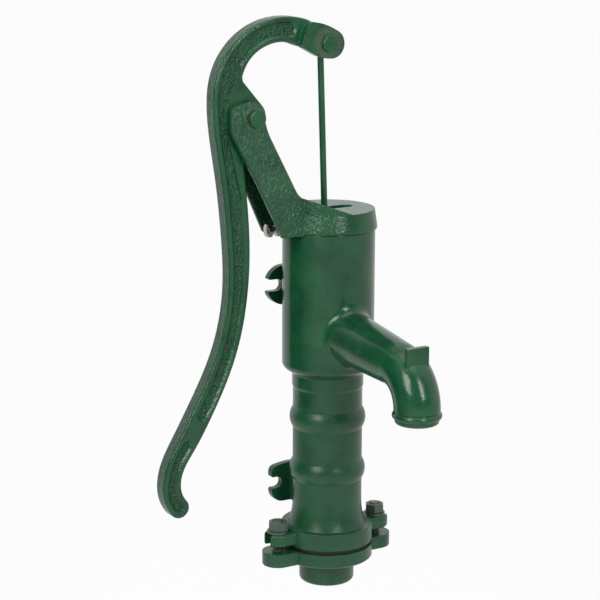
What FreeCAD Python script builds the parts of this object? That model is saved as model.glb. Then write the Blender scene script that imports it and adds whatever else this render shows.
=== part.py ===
import FreeCAD, Part
import math
import os
import re
import Sketcher

# Wall-mounted hand pump, in millimetres and degrees.
# Z is up. The origin is the middle of the inlet mouth, at the bottom.
# The spout points to -Y, the wall is at +Y and the handle hangs on the -X side.

os.makedirs("parts", exist_ok=True)
doc = FreeCAD.newDocument("WallHandPump")
V = FreeCAD.Vector

# Driving dimensions: name, value and what it is
SIZES = [
    ("inlet_r", 30.5, "outer radius of the inlet boss"),
    ("inlet_height", 28, "length of the inlet boss under its flange"),
    ("inlet_thread_r", 19.5, "crest radius of the G 1 1/4 inlet thread"),
    ("inlet_thread_depth", 24, "length of the inlet thread"),
    ("seat_r", 15.5, "radius of the foot valve's seat opening"),
    ("flange_r", 50, "radius of both flanges"),
    ("base_thick", 15, "thickness of the inlet flange"),
    ("gasket_thick", 5, "thickness of the leather between the flanges"),
    ("gasket_r", 47, "outer radius of that leather"),
    ("body_flange_thick", 18.5, "thickness of the body's flange"),
    ("bolt_x", 62, "distance of each flange bolt from the axis"),
    ("ear_r", 14.5, "radius of the body flange's slotted ears"),
    ("ear_drop", 2.5, "how far the top of those ears lies under the flange's"),
    ("ear_lift", 2, "how far their underside lies over the flange's"),
    ("ear_round", 3, "rounding of their edges"),
    ("base_ear_r", 17, "radius of the inlet flange's ears"),
    ("bolt_r", 6, "radius of the flange bolts"),
    ("bolt_play", 0.5, "radial play of a bolt in its hole"),
    ("bolt_head_flats", 19, "width across flats of bolt heads and nuts"),
    ("bolt_head_height", 7.5, "height of a flange bolt's head"),
    ("head_pocket_play", 0.4, "play between a bolt's head and its pocket"),
    ("head_pocket_depth", 8.4, "depth of the pocket under an inlet flange ear"),
    ("washer_r", 11.5, "radius of the flange washers"),
    ("washer_thick", 2.5, "thickness of the flange washers"),
    ("nut_height", 10, "height of a flange nut"),
    ("bolt_tip", 0.8, "length of bolt that stands out of its nut"),
    ("cylinder_wall", 5.8, "wall of the pump cylinder"),
    ("cylinder_bore_r", 32, "radius of the cylinder's bore"),
    ("foot_flare", 5.2, "how far the cylinder flares where it meets its flange"),
    ("foot_rise", 26, "height of that flare"),
    ("foot_curve", 60, "radius of the curve of that flare"),
    ("bead_low_z", 129, "height of the lower bead on the cylinder"),
    ("bead_high_z", 187, "height of the upper bead on the cylinder"),
    ("bead_half", 11, "half the height of a bead"),
    ("bead_curve", 19, "radius of a bead's outline"),
    ("collar_z", 221, "height where the collar under the barrel starts"),
    ("collar_proud", 0.9, "how far the collar stands out of the cylinder"),
    ("shoulder_z", 236.5, "height where the barrel's shoulder starts"),
    ("shoulder_run", 7.5, "run of the cone under the barrel"),
    ("shoulder_cone", 5.7, "rise of that cone"),
    ("shoulder_rise", 12.5, "height of the whole shoulder"),
    ("shoulder_curve", 8.5, "radius of the barrel's bottom corner"),
    ("barrel_r", 49.6, "outer radius of the barrel"),
    ("barrel_wall", 7.6, "wall of the barrel"),
    ("bore_cone", 18, "height of the cone between cylinder and barrel bores"),
    ("neck_step", 2.6, "step from the barrel in to the turned neck that the cap sits on"),
    ("neck_tall", 12.6, "height of the turned neck over the barrel's rim"),
    ("barrel_top", 408, "height of the barrel's upper end"),
    ("spout_reach", 175.5, "distance of the spout's mouth from the axis"),
    ("spout_bend", 40, "radius of the spout's bend"),
    ("spout_bend_z", 237.3, "height where the spout has turned down"),
    ("spout_slope", 4.5, "fall of the spout before its bend, in degrees"),
    ("spout_r", 24, "outer radius of the spout at its bend"),
    ("spout_tip_r", 22.8, "outer radius of the spout at its mouth"),
    ("spout_root_r", 28.5, "outer radius of the spout inside the barrel's wall"),
    ("spout_root_y", 38, "distance from the axis where the spout starts"),
    ("spout_wall", 4.5, "wall of the spout"),
    ("spout_fillet", 11, "fillet where the spout leaves the barrel"),
    ("mouth_z", 223.8, "height of the spout's mouth"),
    ("mouth_curve", 3, "rounding of the mouth's outer edge"),
    ("mouth_bead_rise", 8.7, "height of the bead round the mouth over the mouth"),
    ("mouth_bead_r", 3.9, "radius of that bead"),
    ("hook_x", 27, "width of the bucket stop on the spout"),
    ("hook_y", 8, "length of the bucket stop"),
    ("hook_back", 2.3, "how far the bucket stop's end lies inside the spout's reach"),
    ("hook_top", 302, "height of the bucket stop's top"),
    ("hook_round", 2.5, "radius of the bucket stop's corners"),
    ("hook_soft", 1.2, "rounding of the bucket stop's top edge"),
    ("lug_low_z", 104, "height of the lower wall lug"),
    ("lug_high_z", 327.6, "height of the upper wall lug"),
    ("lug_half", 21.9, "half the height of a wall lug"),
    ("lug_low_x", 46, "distance from the middle to the ends of the lower lug"),
    ("lug_low_top_r", 7.2, "radius of the lower lug's upper corners"),
    ("lug_low_foot_r", 14, "radius of the lower lug's lower corners"),
    ("lug_high_x", 29.8, "distance from the middle to the centres of the upper lug's round ends"),
    ("lug_tip", 1.8, "rounding of a lug's tips beside its slots"),
    ("lug_thick", 8, "thickness of the wall lugs"),
    ("lug_core_x", 22, "half the width of the block that carries the lower lug"),
    ("wall_gap", 0.4, "gap between the barrel and the wall"),
    ("slot_half", 6.5, "half the width of the wall slots"),
    ("slot_up", 0.6, "how far a slot's middle lies above its lug's"),
    ("slot_x", 39.5, "distance of a wall slot's round end centre from the middle"),
    ("cap_thick", 8, "thickness of the cap's top disc"),
    ("cap_lift", 0.5, "gap between the barrel's end and the cap's underside"),
    ("cap_edge", 1.5, "width of the cap's edge outside the neck, at its top"),
    ("cap_skirt", 1.6, "wall of the cap's skirt at its bottom"),
    ("cap_skirt_lift", 0.6, "gap between the barrel's rim and the skirt's bottom"),
    ("cap_fit", 0.4, "radial clearance of the cap over the barrel"),
    ("lip_thick", 4, "thickness of the rising lip on the cap"),
    ("lip_rise", 0.385, "rise of the lip's edge over its run"),
    ("rod_slot_front", 28, "end of the rod's slot in the cap, away from the handle"),
    ("rod_slot_back", 20, "end of that slot on the handle's side"),
    ("rod_slot_half", 7, "half the width of that slot"),
    ("foot_drop", 14, "how far the bracket reaches down past the barrel's upper end"),
    ("handle_play", 1.8956, "gap between the handle and a bracket wall, at the pivot"),
    ("bracket_lean", 3.3, "lean of the bracket's walls towards each other, in degrees"),
    ("bracket_wall", 6.3, "thickness of the bracket's walls"),
    ("wall_front_x", -34, "front of a bracket wall at its foot"),
    ("wall_back_x", -69.5, "back of a bracket wall at its foot"),
    ("wall_soft", 3, "rounding of the long edges of the bracket's walls"),
    ("web_tall", 84, "height of the web between the walls over the barrel's end"),
    ("web_thick", 7, "thickness of that web"),
    ("web_foot_x", -36, "front of the web at the cap"),
    ("web_top_x", -77, "front of the web at its top"),
    ("pivot_x", -99, "place of the handle's pivot"),
    ("pivot_rise", 112.5, "height of the handle's pivot over the barrel's end"),
    ("pivot_pin_r", 6, "radius of the pivot pin"),
    ("pin_play", 0.1, "radial play of a pin in the piece that turns on it"),
    ("pivot_head_r", 9.3, "radius of the pivot pin's head"),
    ("pivot_head_thick", 7, "thickness of the pivot pin's head"),
    ("rod_pin_x", -12, "place of the pin that joins handle and rod"),
    ("rod_pin_rise", 72, "height of that pin over the pivot"),
    ("rod_pin_r", 5, "radius of the rod pin"),
    ("rod_pin_head_r", 8.8, "radius of the rod pin's head"),
    ("rod_pin_head_thick", 4, "thickness of the rod pin's head"),
    ("pin_end", 11, "length of a pin beyond the piece it holds"),
    ("split_r", 0.8, "radius of a split pin's ring wire"),
    ("split_leg_r", 0.7, "radius of a split pin's legs"),
    ("split_bend", 2.4, "radius of the bend at the end of a leg"),
    ("split_hole_r", 1.9, "radius of the holes for the split pins"),
    ("split_back", 4, "distance of a split pin from the end of its pin"),
    ("pin_washer_r", 11, "radius of the pivot pin's washer"),
    ("pin_washer_thick", 2, "thickness of the pivot pin's washer"),
    ("handle_thick", 19, "thickness of the handle"),
    ("handle_soft", 2.5, "rounding of the handle's long edges"),
    ("handle_rim", 4.6, "width of the rims round the handle's panels"),
    ("panel_deep", 3, "depth of the handle's panels"),
    ("panel_slope", 3.2, "run of the panels' sloping walls"),
    ("handle_ear_r", 17, "radius of the handle round its pivot"),
    ("fork_thick", 36.4, "thickness of the handle's fork"),
    ("fork_r", 38, "how far the fork reaches from the rod pin"),
    ("fork_end_r", 15.2, "radius of the fork's end"),
    ("fork_far_r", 11, "radius of the end of the fork's far cheek"),
    ("fork_end_x", 3.5, "how far that end's centre lies beyond the rod pin"),
    ("fork_end_z", -0.8, "how far that centre lies above the rod pin"),
    ("eye_play", 1, "gap between the rod's upper eye and a cheek of the fork"),
    ("fork_gap_r", 13.5, "depth of that gap behind the rod pin"),
    ("rod_r", 3.4, "radius of the piston rod"),
    ("rod_eye_r", 10.5, "outer radius of the rod's upper eye"),
    ("rod_eye_thick", 10, "thickness of the rod's upper eye"),
    ("joint_rise", 44, "height of the joint between rod and piston over the piston's top"),
    ("bar_r", 5, "radius of the bar that the rod's lower eye hangs on"),
    ("eye_half", 10.5, "half the width of the rod's lower eye"),
    ("eye_hole_half", 5.6, "half the width of the hole in that eye"),
    ("eye_slack", 3.9, "how far the bar can slide in that hole, each way"),
    ("eye_thick", 8, "thickness of the rod's lower eye"),
    ("bail_inset", 4, "how far the piston's bail stands inside the rim of the upper plate"),
    ("bail_leg", 7, "thickness of a leg of the bail"),
    ("bail_deep", 12, "depth of the bail"),
    ("stop_rise", 12.8, "height of the web that stops the piston valve, over the piston's top"),
    ("stop_thick", 5, "thickness of that web"),
    ("piston_top_z", 214, "height of the piston's upper plate"),
    ("plate_gap", 4.5, "gap between the piston's upper plate and the cylinder"),
    ("plate_thick", 9.5, "thickness of that plate"),
    ("cup_play", 0.15, "radial play of the leather cup in the cylinder"),
    ("cup_wall", 3, "wall of the leather cup"),
    ("cup_base", 3.5, "thickness of the cup's base"),
    ("cup_tall", 19, "height of the leather cup"),
    ("follower_gap", 3.5, "gap between the follower plate under the cup and the cylinder"),
    ("follower_thick", 8, "thickness of the follower plate"),
    ("spigot_wall", 6, "wall of the follower's threaded spigot"),
    ("valve_play", 2, "gap between the piston valve and the legs of the bail round it"),
    ("valve_lap", 3.5, "how far the piston valve overlaps its seat's opening, the waterway"),
    ("valve_thick", 5, "thickness of the piston valve's disc"),
    ("valve_knob_r", 6, "radius of the knob on the piston valve"),
    ("valve_knob", 3.2, "height of that knob"),
    ("wing_length", 15, "length of the piston valve's guide wings"),
    ("wing_thick", 2.5, "thickness of a guide wing"),
    ("valve_fit", 0.4, "radial clearance of the wings in the waterway"),
    ("part_gap", 0.3, "clearance between pieces that move past each other"),
    ("face_gap", 0.05, "clearance between faces that are screwed together"),
    ("flap_r", 20.5, "radius of the foot valve's leather flap"),
    ("flap_gap", 4, "gap between the flap and the ring round it"),
    ("tongue_half", 9, "half the width of the flap's hinge tongue"),
    ("weight_r", 13.5, "radius of the weight on the flap"),
    ("weight_tall", 11, "height of that weight"),
    ("weight_dome", 4, "height of the weight's dome"),
    ("clack_washer_gap", 3.5, "gap between the washer under the flap and the seat's opening"),
    ("clack_washer_thick", 3, "thickness of that washer"),
    ("clack_screw_r", 3, "radius of the screw through the flap"),
    ("set_screw_r", 4, "radius of the cap's set screw"),
    ("set_point_r", 2.7, "radius of the set screw's point"),
    ("set_screw_rise", 3.2, "height of the set screw over the barrel's rim"),
    ("set_screw_flats", 13, "width across flats of its head and lock nut"),
    ("set_head_height", 5.3, "height of the set screw's head"),
    ("lock_nut_height", 6, "height of the lock nut"),
    ("set_screw_gap", 5.5, "length of bare thread between lock nut and head"),
    ("set_boss_out", 9.9, "how far the boss that the set screw goes through stands out of the barrel"),
    ("set_boss_half", 11, "half the width of that boss"),
    ("set_boss_under", 7.1, "distance of that boss's underside from the screw"),
    ("set_boss_over", 13.4, "distance of that boss's top from the screw"),
]

# The handle's middle line from the rod pin to the grip: place from the pivot, height from it, width
HANDLE_LINE = [
    (76, 77.5, 24), (65, 82, 28.5), (45, 87.3, 26.5), (15, 83.5, 25), (-9, 68, 25.5), (-24.5, 40.5, 29),
    (-27, 9.5, 31), (-20.6, -56.5, 27.5), (-14, -127.5, 25.5), (-14.5, -180.5, 22.5), (-29, -248.5, 22),
    (-58, -308.5, 23), (-77, -340.5, 22), (-90, -363.5, 20.3), (-93.8, -380.5, 20.5), (-85.5, -406.5, 22),
]
for station, row in enumerate(HANDLE_LINE):
    for word, size in zip(("line_x", "line_z", "line_width"), row):
        SIZES.append((f"{word}_{station}", size, f"handle at station {station}"))
NAMES = {row[0] for row in SIZES}

sheet = doc.addObject("Spreadsheet::Sheet", "Sizes")
for row, (name, size, meaning) in enumerate(SIZES, start=1):
    sheet.set(f"A{row}", name)
    sheet.set(f"B{row}", str(size))
    sheet.setAlias(f"B{row}", name)
    sheet.set(f"C{row}", meaning)
doc.recompute()

# Sizes that follow from those on the sheet: name and expression, each after the ones that it uses
TIES = [
    ("base_top", "inlet_height + base_thick"),
    ("flange_z", "base_top + gasket_thick"),
    ("flange_top", "flange_z + body_flange_thick"),
    ("ear_low", "flange_z + ear_lift"),
    ("ear_top", "flange_top - ear_drop"),
    ("nut_z", "ear_top + washer_thick"),
    ("flap_hole_r", "flap_r + flap_gap"),
    ("clack_washer_r", "seat_r - clack_washer_gap"),
    ("cylinder_r", "cylinder_bore_r + cylinder_wall"),
    ("foot_r", "cylinder_r + foot_flare"),
    ("barrel_bore_r", "barrel_r - barrel_wall"),
    ("neck_r", "barrel_r - neck_step"),
    ("neck_z", "barrel_top - neck_tall"),
    ("wall_y", "barrel_r + wall_gap"),
    ("mouth_bead_z", "mouth_z + mouth_bead_rise"),
    ("hook_y_back", "spout_reach - hook_back"),
    ("cap_under", "barrel_top + cap_lift"),
    ("cap_top", "cap_under + cap_thick"),
    ("cap_top_r", "neck_r + cap_fit + cap_edge"),
    ("cap_skirt_r", "barrel_r + cap_fit + cap_skirt"),
    ("cap_skirt_z", "neck_z + cap_skirt_lift"),
    ("set_screw_z", "neck_z + set_screw_rise"),
    ("set_boss_low", "set_screw_z - set_boss_under"),
    ("set_boss_top", "set_screw_z + set_boss_over"),
    ("set_boss_x", "-(barrel_r + set_boss_out)"),
    ("foot_z", "barrel_top - foot_drop"),
    ("web_top_z", "barrel_top + web_tall"),
    ("pivot_z", "barrel_top + pivot_rise"),
    ("rod_pin_z", "pivot_z + rod_pin_rise"),
    ("lean_run", "(pivot_z - foot_z) * tan(bracket_lean)"),
    ("foot_half", "handle_thick / 2 + handle_play + bracket_wall / cos(bracket_lean) + lean_run"),
    ("pivot_wall_y", "foot_half - lean_run"),
    ("fork_gap", "rod_eye_thick + 2 * eye_play"),
    ("plate_z", "piston_top_z - plate_thick"),
    ("cup_z", "plate_z - cup_base"),
    ("follower_z", "cup_z - follower_thick"),
    ("valve_seat_z", "piston_top_z - 2"),
    ("stop_z", "piston_top_z + stop_rise"),
    ("plate_r", "cylinder_bore_r - plate_gap"),
    ("bail_x", "plate_r - bail_inset - bail_leg"),
    ("follower_r", "cylinder_bore_r - follower_gap"),
    ("valve_r", "bail_x - valve_play"),
    ("port_r", "valve_r - valve_lap"),
    ("spigot_r", "port_r + spigot_wall"),
    ("joint_z", "piston_top_z + joint_rise"),
    ("rod_length", "sqrt(rod_pin_x^2 + (rod_pin_z - joint_z)^2)"),
    ("rod_tilt", "atan(rod_pin_x / (rod_pin_z - joint_z))"),
]


def formula(text):
    """Write out the sizes that follow, and put the sheet's name in front of every size on it."""
    text = str(text)
    for name, tie in reversed(TIES):
        text = re.sub(rf"\b{name}\b", f"({tie})", text)
    return re.sub(r"[A-Za-z_]\w*", lambda word: ("Sizes." if word[0] in NAMES else "") + word[0], text)


def value(text):
    """The present value of an expression on the sheet."""
    return float(sheet.evalExpression(formula(text)))


def new_body(name):
    """An empty body whose label names the node and its file."""
    body = doc.addObject("PartDesign::Body", name)
    body.Label = name
    return body


def plane_of(body, role):
    """One of the body's own planes."""
    return next(item for item in body.Origin.OriginFeatures if item.Role == role)


def place(body, x="0", y="0", z="0"):
    """Bind the body's position to the sheet."""
    for axis, text in zip("xyz", (x, y, z)):
        body.setExpression(f".Placement.Base.{axis}", formula(text))


def sketch_on(body, role, name, out="0", up="0", tilt="0"):
    """A sketch on one of the body's own planes, moved out of it and up it, and tilted about its X axis."""
    sketch = body.newObject("Sketcher::SketchObject", f"{body.Name}_{name}")
    sketch.AttachmentSupport = [(plane_of(body, role), "")]
    sketch.MapMode = "FlatFace"
    sketch.AttachmentOffset = FreeCAD.Placement(V(0, 0, 0), FreeCAD.Rotation(V(1, 0, 0), 0))
    sketch.setExpression(".AttachmentOffset.Base.z", formula(out))
    sketch.setExpression(".AttachmentOffset.Base.y", formula(up))
    if tilt != "0":
        sketch.AttachmentOffset = FreeCAD.Placement(V(0, 0, 0), FreeCAD.Rotation(V(1, 0, 0), 1))
        sketch.setExpression(".AttachmentOffset.Rotation.Angle", formula(tilt))
    return sketch


def bind(sketch, constraint, text):
    """Add a constraint and let the sheet drive it."""
    index = sketch.addConstraint(constraint)
    sketch.setExpression(f"Constraints[{index}]", formula(text))


def pin_point(sketch, geometry, end, x, y):
    """Bind one point of the sketch to a place."""
    bind(sketch, Sketcher.Constraint("DistanceX", -1, 1, geometry, end, value(x)), x)
    bind(sketch, Sketcher.Constraint("DistanceY", -1, 1, geometry, end, value(y)), y)


def arc_between(start, end, radius):
    """The short arc from start to end; it turns left if the radius is positive."""
    chord = end - start
    left = V(-chord.y, chord.x, 0).normalize()
    side = math.copysign(1.0, radius)
    height = math.sqrt(max(radius * radius - chord.Length ** 2 / 4, 0.0))
    centre = (start + end) * 0.5 + left * (side * height)
    first, last = (start, end) if radius > 0 else (end, start)
    angles = [math.atan2(point.y - centre.y, point.x - centre.x) for point in (first, last)]
    return Part.ArcOfCircle(Part.Circle(centre, V(0, 0, 1), abs(radius)), angles[0], angles[1])


def trace(sketch, corners):
    """Draw a closed outline through corners (x, y); a third entry is the radius of the arc to the next."""
    points = [V(value(corner[0]), value(corner[1]), 0) for corner in corners]
    starts = []
    ends = []
    for index, corner in enumerate(corners):
        start = points[index]
        end = points[(index + 1) % len(points)]
        if len(corner) == 3:
            radius = value(corner[2])
            edge = sketch.addGeometry(arc_between(start, end, radius))
            bind(sketch, Sketcher.Constraint("Radius", edge, abs(radius)), f"abs({corner[2]})")
            starts.append((edge, 1 if radius > 0 else 2))
            ends.append((edge, 2 if radius > 0 else 1))
        else:
            edge = sketch.addGeometry(Part.LineSegment(start, end))
            starts.append((edge, 1))
            ends.append((edge, 2))
    for index, corner in enumerate(corners):
        edge, end = starts[index]
        before, before_end = ends[index - 1]
        sketch.addConstraint(Sketcher.Constraint("Coincident", before, before_end, edge, end))
        pin_point(sketch, edge, end, corner[0], corner[1])
    return sketch


def circle(sketch, x, y, radius):
    """Draw a circle."""
    round_line = Part.Circle(V(value(x), value(y), 0), V(0, 0, 1), value(radius))
    edge = sketch.addGeometry(round_line)
    bind(sketch, Sketcher.Constraint("Radius", edge, value(radius)), radius)
    pin_point(sketch, edge, 3, x, y)
    return sketch


def rectangle(sketch, left, bottom, right, top):
    """Draw a rectangle from two opposite corners."""
    return trace(sketch, [(left, bottom), (right, bottom), (right, top), (left, top)])


def round_rectangle(sketch, x, y, half_x, half_y, radius):
    """Draw a rectangle with round corners about a centre."""
    bend = f"{radius} * 1.0001"
    corners = []
    for side, end in (("+", "-"), ("+", "+"), ("-", "+"), ("-", "-")):
        along = (f"{x} {side} ({half_x} - {radius})", f"{y} {end} {half_y}")
        across = (f"{x} {side} {half_x}", f"{y} {end} ({half_y} - {radius})")
        first, last = (along, across) if side != end else (across, along)
        corners += [(*first, bend), last]
    return trace(sketch, corners)


def hexagon(sketch, x, y, flats):
    """Draw a hexagon with two corners on the sketch's X direction."""
    corners = []
    for turn in range(6):
        corners.append((f"{x} + {flats} / sqrt(3) * cos({60 * turn})",
                        f"{y} + {flats} / sqrt(3) * sin({60 * turn})"))
    return trace(sketch, corners)


def grow(body, kind, sketch, length="1", both=False, back=False, through=False):
    """Pad or pocket a sketch by a length, to both sides if asked."""
    feature = body.newObject(f"PartDesign::{kind}", f"{sketch.Name}_{kind.lower()}")
    feature.Profile = sketch
    feature.SideType = "Symmetric" if both else "One side"
    feature.Reversed = back
    if through:
        feature.Type = "ThroughAll"
    else:
        feature.setExpression("Length", formula(length))
    sketch.Visibility = False
    return feature


def pad(body, sketch, length, **options):
    """Pad a sketch."""
    return grow(body, "Pad", sketch, length, **options)


def pocket(body, sketch, length="1", **options):
    """Cut a sketch out of the body."""
    return grow(body, "Pocket", sketch, length, **options)


def turn(body, kind, sketch, axis="V_Axis", angle="360", back=False):
    """Revolution or Groove of a sketch about one of its own axes."""
    feature = body.newObject(f"PartDesign::{kind}", f"{sketch.Name}_{kind.lower()}")
    feature.Profile = sketch
    feature.ReferenceAxis = (sketch, [axis])
    feature.setExpression("Angle", formula(angle))
    feature.Reversed = back
    return feature


def loft(body, kind, sketches):
    """Straight loft between sketches, added or cut."""
    feature = body.newObject(f"PartDesign::{kind}", f"{sketches[0].Name}_loft")
    feature.Profile = sketches[0]
    feature.Sections = sketches[1:]
    feature.Ruled = True
    return feature


def soften(body, kind, test, size):
    """Fillet or Chamfer the edges of the body's last feature that pass the test."""
    doc.recompute()
    base = body.Tip
    names = [f"Edge{index}" for index, edge in enumerate(base.Shape.Edges, start=1) if test(edge)]
    feature = body.newObject(f"PartDesign::{kind}", f"{body.Name}_{kind.lower()}_{len(body.Group)}")
    feature.Base = (base, names)
    feature.setExpression("Radius" if kind == "Fillet" else "Size", formula(size))
    return feature


def is_circle(edge, radius, z=None):
    """True for a full or part circle of this radius, at this height if one is given."""
    curve = edge.Curve
    if not isinstance(curve, Part.Circle) or abs(curve.Radius - value(radius)) > 0.01:
        return False
    return z is None or abs(curve.Center.z - value(z)) < 0.01


def spout_frame(body, name, back="0"):
    """A sketch across the spout where its bend starts, or further back towards the barrel.

    The sketch's origin is the middle of the bend, so the tube's centre is at spout_bend above it.
    """
    return sketch_on(body, "XZ_Plane", name,
                     out=f"spout_reach - spout_bend - {back} * cos(spout_slope)",
                     up=f"spout_bend_z + {back} * sin(spout_slope)", tilt="spout_slope")


def spout_length():
    """Length of the straight part of the spout, as an expression."""
    return "((spout_reach - spout_bend + spout_bend * sin(spout_slope) - spout_root_y) / cos(spout_slope))"


def spout_tube(body, inner):
    """The spout's tapered run, bend and tip, as a solid or as its waterway."""
    less = "spout_wall" if inner else "0"
    name = "waterway" if inner else "spout"
    root = spout_frame(body, f"{name}_root", spout_length())
    circle(root, "0", "spout_bend", f"spout_root_r - {less}")
    start = circle(spout_frame(body, f"{name}_bend"), "0", "spout_bend", f"spout_r - {less}")
    loft(body, "SubtractiveLoft" if inner else "AdditiveLoft", [root, start])
    bend = circle(spout_frame(body, f"{name}_arc"), "0", "spout_bend", f"spout_r - {less}")
    turn(body, "Groove" if inner else "Revolution", bend, "H_Axis", "90 - spout_slope")
    tip = sketch_on(body, "YZ_Plane", f"{name}_tip", out="0")
    tip.setExpression(".AttachmentOffset.Base.x", formula("-spout_reach"))
    if inner:
        trace(tip, [("0", "spout_bend_z"), ("0", "mouth_z - 1"), ("spout_tip_r - spout_wall", "mouth_z - 1"),
                    ("spout_r - spout_wall", "spout_bend_z")])
        turn(body, "Groove", tip)
        return
    bead = "sqrt(mouth_bead_r^2 - 1)"
    trace(tip, [("0", "spout_bend_z"), ("0", "mouth_z"),
                ("spout_tip_r - mouth_curve", "mouth_z", "mouth_curve"),
                ("spout_tip_r", "mouth_z + mouth_curve"),
                ("spout_tip_r", f"mouth_bead_z - {bead}", "mouth_bead_r"),
                ("spout_tip_r", f"mouth_bead_z + {bead}"), ("spout_r", "spout_bend_z")])
    turn(body, "Revolution", tip)


def even_outline(sketch, side):
    """Draw an outline that is the same left and right; side runs down one half, with corners as in trace."""
    left = [(f"-({corner[0]})", *corner[1:]) for corner in side]
    right = []
    for index in range(len(side) - 1, -1, -1):
        right.append((*side[index][:2], *(side[index - 1][2:] if index else ())))
    return trace(sketch, left + right)


def lug_slot(middle, high_x, low_x):
    """The part of a lug's outline round its open slot, from the tip above it to the tip below it."""
    top = f"({middle} + slot_half)"
    low = f"({middle} - slot_half)"
    tip = "lug_tip * 1.0001"
    return [(high_x, f"{top} + lug_tip", tip), (f"{high_x} - lug_tip", top),
            ("slot_x", top, "-slot_half * 1.0001"), ("slot_x", low),
            (f"{low_x} - lug_tip", low, tip), (low_x, f"{low} - lug_tip")]


def low_lug(sketch):
    """The lower wall lug: square shoulders above, rounder ones below, a slot open at each end."""
    top = "(lug_low_z + lug_half)"
    foot = "(lug_low_z - lug_half)"
    slot = lug_slot("(lug_low_z + slot_up)", "lug_low_x", "lug_low_x")
    tip = (*slot[-1], "lug_low_foot_r * 1.01")
    side = [("lug_low_x - 26", top, "90"), ("lug_low_x - 5.5", f"{top} - 2.4", "lug_low_top_r"),
            ("lug_low_x", f"{top} - 9.4"), *slot[:-1], tip, ("lug_low_x - lug_low_foot_r", foot)]
    return even_outline(sketch, side)


def high_lug(sketch):
    """The upper wall lug, with half-round ends, each with an open slot."""
    reach = [f"(lug_high_x + sqrt(lug_half^2 - (slot_half + lug_tip {sign} slot_up)^2))" for sign in "+-"]
    slot = lug_slot("(lug_high_z + slot_up)", reach[0], reach[1])
    end = (*slot[-1], "lug_half")
    side = [("lug_high_x", "lug_high_z + lug_half", "lug_half"), *slot[:-1], end,
            ("lug_high_x", "lug_high_z - lug_half")]
    return even_outline(sketch, side)


def ear_outline(sketch, radius):
    """Two round ears on the X axis, joined by a bar through the middle."""
    return trace(sketch, [("-bolt_x", radius, f"{radius} * 1.00001"), ("-bolt_x", f"-{radius}"),
                          ("bolt_x", f"-{radius}", f"{radius} * 1.00001"), ("bolt_x", radius)])


def make_pump_body():
    """The iron casting: flange, cylinder, barrel, spout and wall lugs."""
    body = new_body("pump_body")
    pad(body, ear_outline(sketch_on(body, "XY_Plane", "ears", out="ear_low"), "ear_r"), "ear_top - ear_low")
    soften(body, "Fillet", lambda edge: is_circle(edge, "ear_r"), "ear_round")
    outline = sketch_on(body, "XZ_Plane", "outline")
    collar_r = "cylinder_r + collar_proud"
    corners = [("0", "flange_z"), ("flange_r", "flange_z"), ("flange_r", "flange_top"),
               ("foot_r", "flange_top", "-foot_curve"), ("cylinder_r", "flange_top + foot_rise")]
    for bead_z in ("bead_low_z", "bead_high_z"):
        corners.append(("cylinder_r", f"{bead_z} - bead_half", "bead_curve"))
        corners.append(("cylinder_r", f"{bead_z} + bead_half"))
    corners += [("cylinder_r", "collar_z"), (collar_r, "collar_z + 2"), (collar_r, "shoulder_z"),
                (f"{collar_r} + shoulder_run", "shoulder_z + shoulder_cone", "shoulder_curve"),
                ("barrel_r", "shoulder_z + shoulder_rise"), ("barrel_r", "neck_z"), ("neck_r", "neck_z"),
                ("neck_r", "barrel_top"), ("0", "barrel_top")]
    turn(body, "Revolution", trace(outline, corners))
    spout_tube(body, inner=False)
    soften(body, "Fillet", is_spout_root, "spout_fillet")
    hook = sketch_on(body, "XY_Plane", "hook", out="hook_top")
    round_rectangle(hook, "0", "-hook_y_back", "hook_x / 2", "hook_y / 2", "hook_round")
    pad(body, hook, "hook_top - spout_bend_z - spout_bend", back=True)
    low = value("hook_top") - 0.01
    soften(body, "Fillet", lambda edge: edge.BoundBox.ZMin > low and edge.BoundBox.YMax < -60, "hook_soft")
    for name, outline in (("low", low_lug), ("high", high_lug)):
        pad(body, outline(sketch_on(body, "XZ_Plane", f"lug_{name}", out="-wall_y")), "lug_thick")
    core = sketch_on(body, "XZ_Plane", "lug_core", out="-wall_y")
    rectangle(core, "-lug_core_x", "lug_low_z - lug_half", "lug_core_x", "lug_low_z + lug_half")
    pad(body, core, "wall_y - cylinder_r / 2")
    half = "(bolt_r + bolt_play)"
    for name, side in (("left", "-1"), ("right", "1")):
        slot = sketch_on(body, "XY_Plane", f"bolt_slot_{name}", out="flange_z")
        near = f"{side} * bolt_x"
        far = f"{side} * (bolt_x + 2 * ear_r)"
        trace(slot, [(near, half, f"{side} * {half} * 1.0001"), (near, f"-{half}"),
                     (far, f"-{half}"), (far, half)])
        pocket(body, slot, "body_flange_thick", back=True)
    spout_tube(body, inner=True)
    bore = sketch_on(body, "XZ_Plane", "bore")
    trace(bore, [("0", "flange_z - 1"), ("cylinder_bore_r", "flange_z - 1"),
                 ("cylinder_bore_r", "shoulder_z"), ("barrel_bore_r", "shoulder_z + bore_cone"),
                 ("barrel_bore_r", "barrel_top + 1"), ("0", "barrel_top + 1")])
    turn(body, "Groove", bore)
    return body


def is_spout_root(edge):
    """True for the curved edge where the spout leaves the barrel."""
    box = edge.BoundBox
    inside = box.YMax < -20 and box.YMin > -value("barrel_r") - 2
    between = box.ZMin > value("shoulder_z") - 2 and box.ZMax < value("neck_z") - 5
    return inside and between and box.ZLength > 5


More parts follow.
